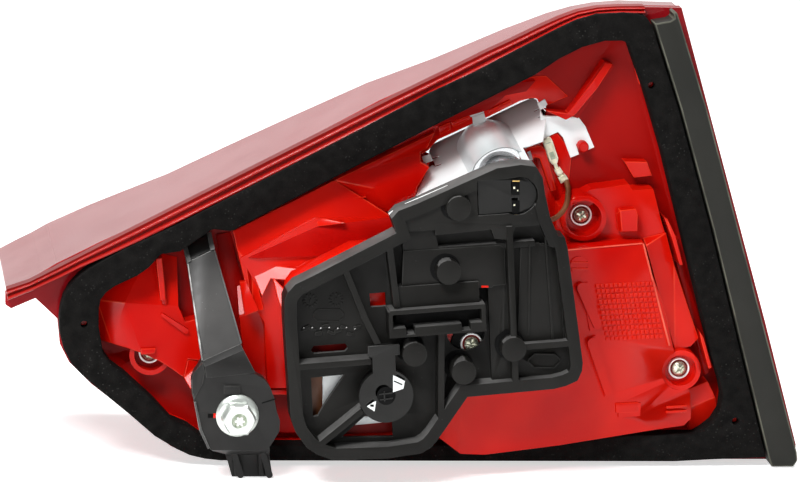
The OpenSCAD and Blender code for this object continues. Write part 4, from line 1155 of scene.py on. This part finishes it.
PLATE_Y = -21
PANEL_Y = -25.4
carrier_plates("carrier_panel", [
    [(52.4, 57.2), (84.5, 59.4), (86, 58.6), (87, 46), (82.8, 45.6), (82.6, 45), (52.4, 44.6)]],
    PANEL_Y, -23)
carrier_plates("carrier_right_panel", [
    [(91.4, 59.6), (97.6, 60.2), (98.2, 59.4), (104.2, 60), (107.4, 28), (106, 26.8), (92.6, 26.4),
     (91.8, 30)]], -24.7, -23)
carrier_plates("carrier_right_lines", [
    [(98.4, 69), (99, 69), (103.8, 27.6), (103.2, 27.6)],
    [(94.2, 59.4), (94.7, 59.4), (95.6, 29), (95.1, 29)]], -25.3, -24, width=0.12)

# painted shade: black plates in the hollow over the plug, the plug slot and the slots of the bulb holder
carrier_plates("carrier_hollow", [
    [(52.4, 44.4), (80.6, 44.8), (83.4, 43.4), (83.2, 40.6), (81, 39), (52.6, 38.8)]],
    PLATE_Y - 0.2, PLATE_Y + 0.4, shade_black)
carrier_plates("carrier_plug_dark", [[(50.8, 37.6), (79, 37.7), (79.2, 31.6), (50.9, 31.5)]],
               -24.6, -24.2, shade_black)
carrier_plates("carrier_glint", [[(78.8, 45.7), (81.2, 45.7), (81.2, 45), (78.8, 45)]],
               PANEL_Y - 0.05, -24, housing_red, 0.1)
HOLDER_SLOTS = [
    [(87.3, 81.2), (89.9, 81.2), (90.1, 76.4), (87.5, 76.4)],
    [(87.6, 74.6), (90.2, 74.6), (90.4, 69.8), (87.8, 69.8)]]
carrier_plates("reversing_holder_slots", HOLDER_SLOTS, -26.08, -25.6, shade_black, 0.05)
carrier_plates("reversing_holder_contacts", [
    [(87.5, 81.4), (89.9, 81.4), (89.9, 80.9), (87.5, 80.9)],
    [(87.9, 69.9), (90.3, 69.9), (90.3, 69.4), (87.9, 69.4)]], -26.15, -25.6, brass, 0.05)
carrier_plates("reversing_holder_wires", [
    [(87.9, 79.2), (88.5, 79.2), (88.5, 78.5), (87.9, 78.5)],
    [(89.2, 78.2), (89.6, 78.2), (89.6, 77.7), (89.2, 77.7)],
    [(88.2, 73.4), (88.8, 73.4), (88.8, 72.8), (88.2, 72.8)]], -26.2, -25.6, tinned, 0.05)

# round bosses: a thin black disc under each one paints the shade round its foot
BOSSES = {"upper": (69.6, 72.4, -26.9), "middle": (67.2, 50.9, PANEL_Y), "left": (57, 23.2, -21),
          "lower": (73.5, 17.2, -21), "right": (89.9, 25.1, -24.7)}
BOSS_R = 4.05
for label, (x, z, level) in BOSSES.items():
    carrier_plates("carrier_boss_shade_" + label, [moved(ring_outline(5, 32), x - 0.7, z + 0.6)],
                   level - 0.06, level + 0.3, shade_black, 0.03)
    turned_piece("carrier_boss_" + label,
                 [(0.01, -30.25), (BOSS_R - 0.7, -30.25), (BOSS_R - 0.2, -30.05), (BOSS_R, -29.6),
                  (BOSS_R + 0.15, level)], at(x, 0, z), carrier_grey, 40)

# what shows through the windows: red housing, bright reflector, brown strip
carrier_plates("carrier_window_red", [[(42, 43.2), (48.2, 43.2), (48.6, 36.4), (42, 36.4)]],
               -17.6, -17, housing_red, 0.1)
carrier_plates("carrier_window_silver", [
    [(28.4, 14.6), (40, 14.6), (28.8, -1.6)], [(40, -1.6), (54, -0.8), (54, -3), (40, -4.4)]],
    -16, -15.4, shield_metal, 0.1)
carrier_plates("carrier_window_brown", [[(22.5, 14.6), (28.2, 14.6), (28.7, -8), (22.5, -8)]],
               -15.9, -15.3, lead_brown, 0.1)
# painted shade: dark red plates where the housing behind the windows lies in shade
carrier_plates("carrier_window_dark", [
    [(36, -3.6), (54, -2.4), (54, -12), (36, -12)], [(22, 26.5), (37, 26.5), (37, 20.5), (22, 20.5)]],
    -15.2, -14.6, shade_dark_red, 0.1)

# marks of the mould: toothed rings, thin frames and the torn gate
for label, (x, z) in {"left": (22.8, 39.2), "right": (31.4, 39.6)}.items():
    teeth = []
    for k in range(12):
        turn = 2 * math.pi * k / 12
        out, side = Vector((math.cos(turn), math.sin(turn))), Vector((-math.sin(turn), math.cos(turn)))
        tooth = [out * 1.5 - side * 0.22, out * 2.5 - side * 0.3, out * 2.5 + side * 0.3,
                 out * 1.5 + side * 0.22]
        teeth.append(moved([tuple(p) for p in tooth], x, z))
    teeth.append(moved([(-0.25, 0.8), (0.25, 0.8), (0.25, -0.8), (-0.25, -0.8)], x, z))
    carrier_plates("carrier_toothed_mark_" + label, teeth, PLATE_Y - 0.3, PLATE_Y + 0.3, width=0.08)


def thin_frame(low, high, line=0.4, corner=1.4):
    """Four straight bars and four slanted corners of a thin raised frame."""
    x0, z0, x1, z1 = *low, *high
    c = corner
    loop = [(x0 + c, z0), (x1 - c, z0), (x1, z0 + c), (x1, z1 - c), (x1 - c, z1), (x0 + c, z1),
            (x0, z1 - c), (x0, z0 + c)]
    bars = []
    for first, second in zip(loop, loop[1:] + loop[:1]):
        along = (Vector(second) - Vector(first)).normalized()
        across = Vector((-along.y, along.x)) * line
        start, end = Vector(first) - along * 0.1, Vector(second) + along * 0.1
        bars.append([tuple(start), tuple(end), tuple(end + across), tuple(start + across)])
    return bars


carrier_plates("carrier_frame_upper", thin_frame((24, 32.2), (34.2, 36.6)), PLATE_Y - 0.25,
               PLATE_Y + 0.3, width=0.08)
carrier_plates("carrier_frame_lower", thin_frame((95.6, 17.6), (106.6, 22.6), corner=2),
               -24.9, -23.6, width=0.08)
gate = [[(20.6 + 19 * k / 9 - 0.3, 29.2 + 1.4 * math.sin(2.4 * k) - 0.5),
         (20.6 + 19 * k / 9 + 2.2, 29.4 + 1.5 * math.sin(2.4 * k + 0.7) - 0.6),
         (20.6 + 19 * k / 9 + 2.4, 29.9 + 1.6 * math.sin(2.4 * k + 0.9)),
         (20.6 + 19 * k / 9, 30 + 1.3 * math.sin(2.4 * k + 0.2))] for k in range(9)]
carrier_plates("carrier_gate", gate, PLATE_Y - 0.6, PLATE_Y + 0.3, width=0.2)
# painted highlights: white specks on the torn gate
carrier_plates("carrier_gate_specks", [
    moved([(0, 0), (0.5, 0.1), (0.4, 0.4)], 20.6 + 17 * k / 6, 30 + math.sin(3.1 * k)) for k in range(7)],
    PLATE_Y - 0.75, PLATE_Y, highlight_white, 0.03)

# tail bulb holder: dark hub with a cross, bright windows
HUB = (48.2, 8.9)
carrier_plates("tail_holder_hub", [moved(ring_outline(3.1, 24), *HUB)], -28.56, -28, shade_black, 0.05)
carrier_plates("tail_holder_hub_marks", [
    moved([(-2.4, 0.7), (2, 1.3), (2, 0.9), (-2.4, 0.3)], *HUB),
    moved([(-2, -1.1), (2.2, -0.5), (2.2, -0.9), (-2, -1.5)], *HUB),
    moved([(-0.9, 1.6), (-0.5, 1.6), (-0.3, -1.8), (-0.7, -1.8)], *HUB)], -28.9, -28.4, holder_grey,
    0.08)
carrier_plates("tail_holder_windows", [
    [(50.2, 16), (54.2, 14), (53.8, 11.4), (50.4, 10.2)], [(41.9, 5.3), (44.9, 7.2), (44.5, 3.6)]],
    -28.6, -28, shield_metal, 0.05)
carrier_plates("tail_holder_window_lines", [
    [(50.6, 14.2), (53.4, 13), (53.3, 12.6), (50.5, 13.8)], [(43, 6), (44.2, 6), (44.1, 5.2), (43, 5.3)]],
    -28.75, -28, shade_black, 0.03)

# bright edge of the shield over the carrier's rim
carrier_plates("heat_shield_lip", [
    [(47.6, 69), (51.2, 71.6), (61, 76), (74, 81.9), (79.9, 83.8), (80, 83.4), (74, 81.4), (61, 75.5),
     (51.5, 71), (47.8, 68.4)]], -22.3, -21.5, shield_metal, 0.08)

# bead of the lens: two ridges along the gasket on a darker bed, whose red paints the shade in the grooves

BEAD_FOOT = [
    (-75.1, 33.0), (-67.8, 36.1), (-58.0, 40.7), (-51.5, 44.2), (-41.6, 48.6), (-31.8, 53.3),
    (-15.4, 61.8), (4.2, 72.1), (20.6, 80.8), (37.0, 89.6), (53.4, 98.2), (69.8, 107.0),
    (82.3, 113.8), (89.5, 117.7), (98.7, 122.7), (105.9, 126.9), (111.8, 130.0), (118.5, 131.8),
    (125.2, 132.4), (134.3, 132.5)]
BEAD_TOP = [
    (-75.6, 36.5), (-67.9, 39.2), (-58.0, 44.4), (-51.5, 47.9), (-41.7, 53.2), (-31.9, 58.4),
    (-15.5, 67.2), (4.1, 77.7), (20.5, 86.4), (36.9, 95.1), (53.3, 103.8), (69.7, 112.2),
    (82.2, 118.8), (89.5, 122.3), (98.7, 127.0), (105.9, 130.4), (111.9, 132.7), (118.6, 134.1),
    (125.3, 134.6), (134.4, 134.8)]


def banded_strip(name, profile, material, smooth=50):
    """A moulded strip along the bead: its profile is (share of the width, depth)."""
    bm = bmesh.new()
    rows = []
    for low, high in zip(BEAD_FOOT, BEAD_TOP):
        low, high = Vector(low), Vector(high)
        rows.append([bm.verts.new((spot.x * MM, depth * MM, spot.y * MM))
                     for spot, depth in ((low.lerp(high, share), depth) for share, depth in profile)])
    count = len(profile)
    for row, following in zip(rows, rows[1:]):
        for k in range(count):
            after = (k + 1) % count
            bm.faces.new((row[k], row[after], following[after], following[k]))
    bm.faces.new(rows[0])
    bm.faces.new(rows[-1])
    bmesh.ops.recalc_face_normals(bm, faces=bm.faces)
    return add_piece(bm, name, material, smooth)


banded_strip("outer_lens_bead_bed", [(0.02, 8.3), (0.02, 3.2), (0.98, 3.8), (0.98, 8.3)], groove_shade_red)
banded_strip("outer_lens_bead", [(0.03, 3.4), (0.03, 2.3), (0.08, 1.6), (0.15, 1.2), (0.22, 1.2),
                                 (0.29, 1.6), (0.34, 2.3), (0.34, 3.6)], bead_red)
banded_strip("outer_lens_inner_bead", [(0.54, 3.7), (0.55, 3.0), (0.6, 2.6), (0.67, 2.5), (0.74, 2.6),
                                       (0.79, 3.0), (0.8, 3.8)], bead_red)

# glass of the reversing bulb in the dome's opening

BULB_AXIS = (89.2, 0, 76.2)
bulb = turned_piece("reversing_bulb_glass", [
    (0.01, 16.4), (3, 16), (5.5, 14.4), (7.2, 11.6), (7.9, 8.2), (7.9, -6), (6.4, -9), (5, -12),
    (4.6, -16), (0.01, -16)], at(*BULB_AXIS), bulb_glass, 48, 50)
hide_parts("reversing_bulb")

# clamp bracket: strap face, ears and edges painted paler where light falls, bend, shoulder, a slit and a
# crease painted black as shade, and ribs


def thin_form(name, corners, thick, material, width=0.15):
    """A facet of its own: a face between corners (x, y, z), as thick as given along Y."""
    bm = bmesh.new()
    bm.faces.new([bm.verts.new(Vector(place) * MM) for place in corners])
    bmesh.ops.connect_verts_nonplanar(bm, angle_limit=math.radians(4), faces=bm.faces)
    made = bmesh.ops.extrude_face_region(bm, geom=bm.faces[:])
    pushed = [item for item in made["geom"] if isinstance(item, bmesh.types.BMVert)]
    bmesh.ops.translate(bm, verts=pushed, vec=(0, thick * MM, 0))
    bmesh.ops.recalc_face_normals(bm, faces=bm.faces)
    return add_piece(round_edges(bm, width), name, material)


# strap_face, the ears, right_edge and pad_edge carry the paler painted light; slit and crease are black
# painted shade
BRACKET_FACETS = {
    "strap_face": ([(-15.7, 2.3, 46.6), (-7, 4, 50.7), (1, -15.4, 23), (-11.7, -18.4, 17.9)],
                   2, bracket_lit_grey),
    "strap_top": ([(-16, 7.4, 50.9), (-8.5, 9.2, 54.3), (-7.9, 4.6, 50.6), (-15.3, 2.8, 46.9)],
                  2, bracket_grey),
    "left_ear": ([(-17.1, 6.4, 51.1), (-15.8, 6.4, 51.4), (-14.7, 1.5, 47.4), (-15.9, 1.5, 46.4)],
                 2.4, bracket_lit_grey),
    "right_ear": ([(-9, 8.3, 55.1), (-7.7, 8.3, 55.8), (-6.7, 3.1, 50.9), (-8.2, 3.1, 50.4)],
                  2.4, bracket_lit_grey),
    "left_edge": ([(-15.9, 1.5, 46.1), (-15.5, 1.5, 46.1), (-11.7, -18.7, 18.3),
                   (-12.2, -18.7, 18)], 1, edge_pale),
    "right_edge": ([(-6.9, 3.5, 50.5), (-6.65, 3.5, 50.5), (1.3, -15.7, 23.4), (0.95, -15.7, 23.1)],
                   1, bracket_lit_grey),
    "pad_top": ([(-11.3, -20.5, 16.5), (1.6, -18.1, 21.7), (5.6, -20.3, 14.4),
                 (-10.6, -20.4, 12.6)], 2.5, bracket_grey),
    "bend": ([(-11.7, -18.5, 17.8), (1, -15.5, 22.9), (1.6, -18, 21.6), (-11.3, -20.5, 16.4)],
             2, bracket_grey),
    "pad_edge": ([(-14.5, -20.5, 4.6), (-13.8, -20.7, 4.6), (-11.6, -20.7, -4.9),
                  (-8.8, -20.7, -11.1), (-9.4, -20.1, -11.6), (-12.4, -20.1, -5.4)],
                 1, bracket_lit_grey),
    "shoulder": ([(-11.9, -20.4, 17.8), (-11.2, -20.8, 14.8), (-11.7, -20.8, 11.1),
                  (-14.4, -20.7, 5.6), (-15.2, -19.6, 8.4), (-15.4, -19.4, 11.7),
                  (-14.8, -19.3, 14.1), (-13, -19.2, 16.4)], 2, bracket_grey),
    "slit": ([(-9.7, -20.2, 0.4), (-7.9, -20.2, 0.4), (-7.9, -20.2, -1), (-9.7, -20.2, -1)],
             0.4, shade_black),
    "slit_red": ([(-7.9, -20.25, 0.6), (-7.1, -20.25, 0.6), (-7, -20.25, -1),
                  (-7.9, -20.25, -1)], 0.4, housing_red),
    "crease": ([(8.1, -20.1, 4.3), (12.6, -20.1, 5.8), (12.6, -20.1, 5.4), (8.1, -20.1, 3.9)],
               0.3, shade_black)}
for facet, (corners, thick, finish) in BRACKET_FACETS.items():
    thin_form("bracket_" + facet, corners, thick, finish)
bm = bmesh.new()
prism(bm, long_bump((-0.5, -13.5), (2.3, -22.1), 1.8, 2.2), -14.4, -12.6)
prism(bm, long_bump((9, -12.8), (12, -22.1), 1.8, 2.2), -14.4, -12.6)
add_piece(round_edges(bm, 0.6, segments=3), "bracket_tongue_ribs", bracket_grey)

# leaf-shaped rise in the left pocket
bm = bmesh.new()
prism(bm, long_bump((-23.4, 27.6), (-15.4, 22.2), 1, 1.8), 5.4, 9)
add_piece(round_edges(bm, 0.4, segments=3), "housing_pocket_leaf", housing_red)

# thin ridge on the wedge and the shaded floor beside the strap
thin_form("housing_wedge_line", [
    (26.1, 6.9, 64.2), (31.1, 6.5, 66.7), (43.7, 6.3, 68.6), (43.7, 6.3, 68), (31.1, 6.5, 66.1)],
    2, housing_red)
SHADED_FLOOR = [
    (-5.5, 13, 53.6), (-0.6, 13, 54.6), (1.4, 13, 46), (6.6, 13, 28.4), (8.8, 13, 17), (2.6, 13, 16.6),
    (-1.6, 13, 30)]
thin_form("housing_shaded_floor", SHADED_FLOOR, 1, shade_red)
thin_form("housing_small_bright_facet", [
    (2.1, 4.6, 39.2), (4.1, 3.6, 39.9), (8, -1, 31), (3.6, -0.6, 29)], 3, housing_red)
# painted shade: a dim red sheet over the face under the wedge's brow
thin_form("housing_wedge_shade", [
    (4.5, 3.4, 47.9), (27.4, 3.6, 58.7), (52.2, 4, 62), (54.4, 3, 57.6), (30.4, 3, 48.8),
    (7.5, 3, 47.7)], 1, shade_dim_red)
thin_form("housing_peak_facet", [(27, 4.9, 61.7), (36.5, 0.9, 60.6), (27.5, 3.1, 58.9)], 4,
          housing_red)

# painted highlight: a pale line round the lamp box's face, along its top and right edges
bm = bmesh.new()
for outline in ([(109.6, 54.4), (136.2, 55.6), (136.2, 55.2), (109.6, 54)],
                [(136.2, 55.6), (137, 55.2), (148.2, 19.6), (147.6, 19.4)]):
    box_mark(bm, outline, 0.3)
add_piece(round_edges(bm, 0.1, segments=1), "housing_box_edge_highlight", edge_highlight_red)

# pieces

for node_name, node_piece in nodes.items():
    node_piece.data.materials.clear()
    node_piece.data.materials.append(FINISH[node_name])

ROUND_MM = {
    "housing": 0.5, "bulb_carrier": 0.35, "mounting_bracket": 0.5, "side_trim": 0.5,
    "foam_gasket": 0.6, "reversing_bulb_holder": 0.3,
    "tail_bulb_holder": 0.3, "outer_lens": 0.5}
SLANT = Vector((-0.47, 0, 0.88))
DEEP_FLOOR = 8.5


def upper_wall(face):
    """The outer wall of the carrier's rim that faces up and to the left, painted a paler grey as light
    falls on it.
    """
    return face.normal.dot(SLANT) > 0.8 and face.calc_center_median().y < -17 * MM


def deep_floor(face):
    """The deepest floors of the housing, which lie in shade."""
    return face.normal.y < -0.7 and face.calc_center_median().y > DEEP_FLOOR * MM


# painted light and shade: a paler grey on the carrier's upper rim walls, a darker red on the housing's
# deepest floors
PAINTED_LIGHT_AND_SHADE = {
    "bulb_carrier": (upper_wall, carrier_lit_grey), "housing": (deep_floor, shade_red)}
for node_name, width in ROUND_MM.items():
    shape = round_edges(merged_copy(node_name), width)
    if node_name in PAINTED_LIGHT_AND_SHADE:
        chosen, second = PAINTED_LIGHT_AND_SHADE[node_name]
        for face in shape.faces:
            if chosen(face):
                face.material_index = 1
    moulded = replace_node(shape, node_name)
    if node_name in PAINTED_LIGHT_AND_SHADE:
        moulded.data.materials.append(second)
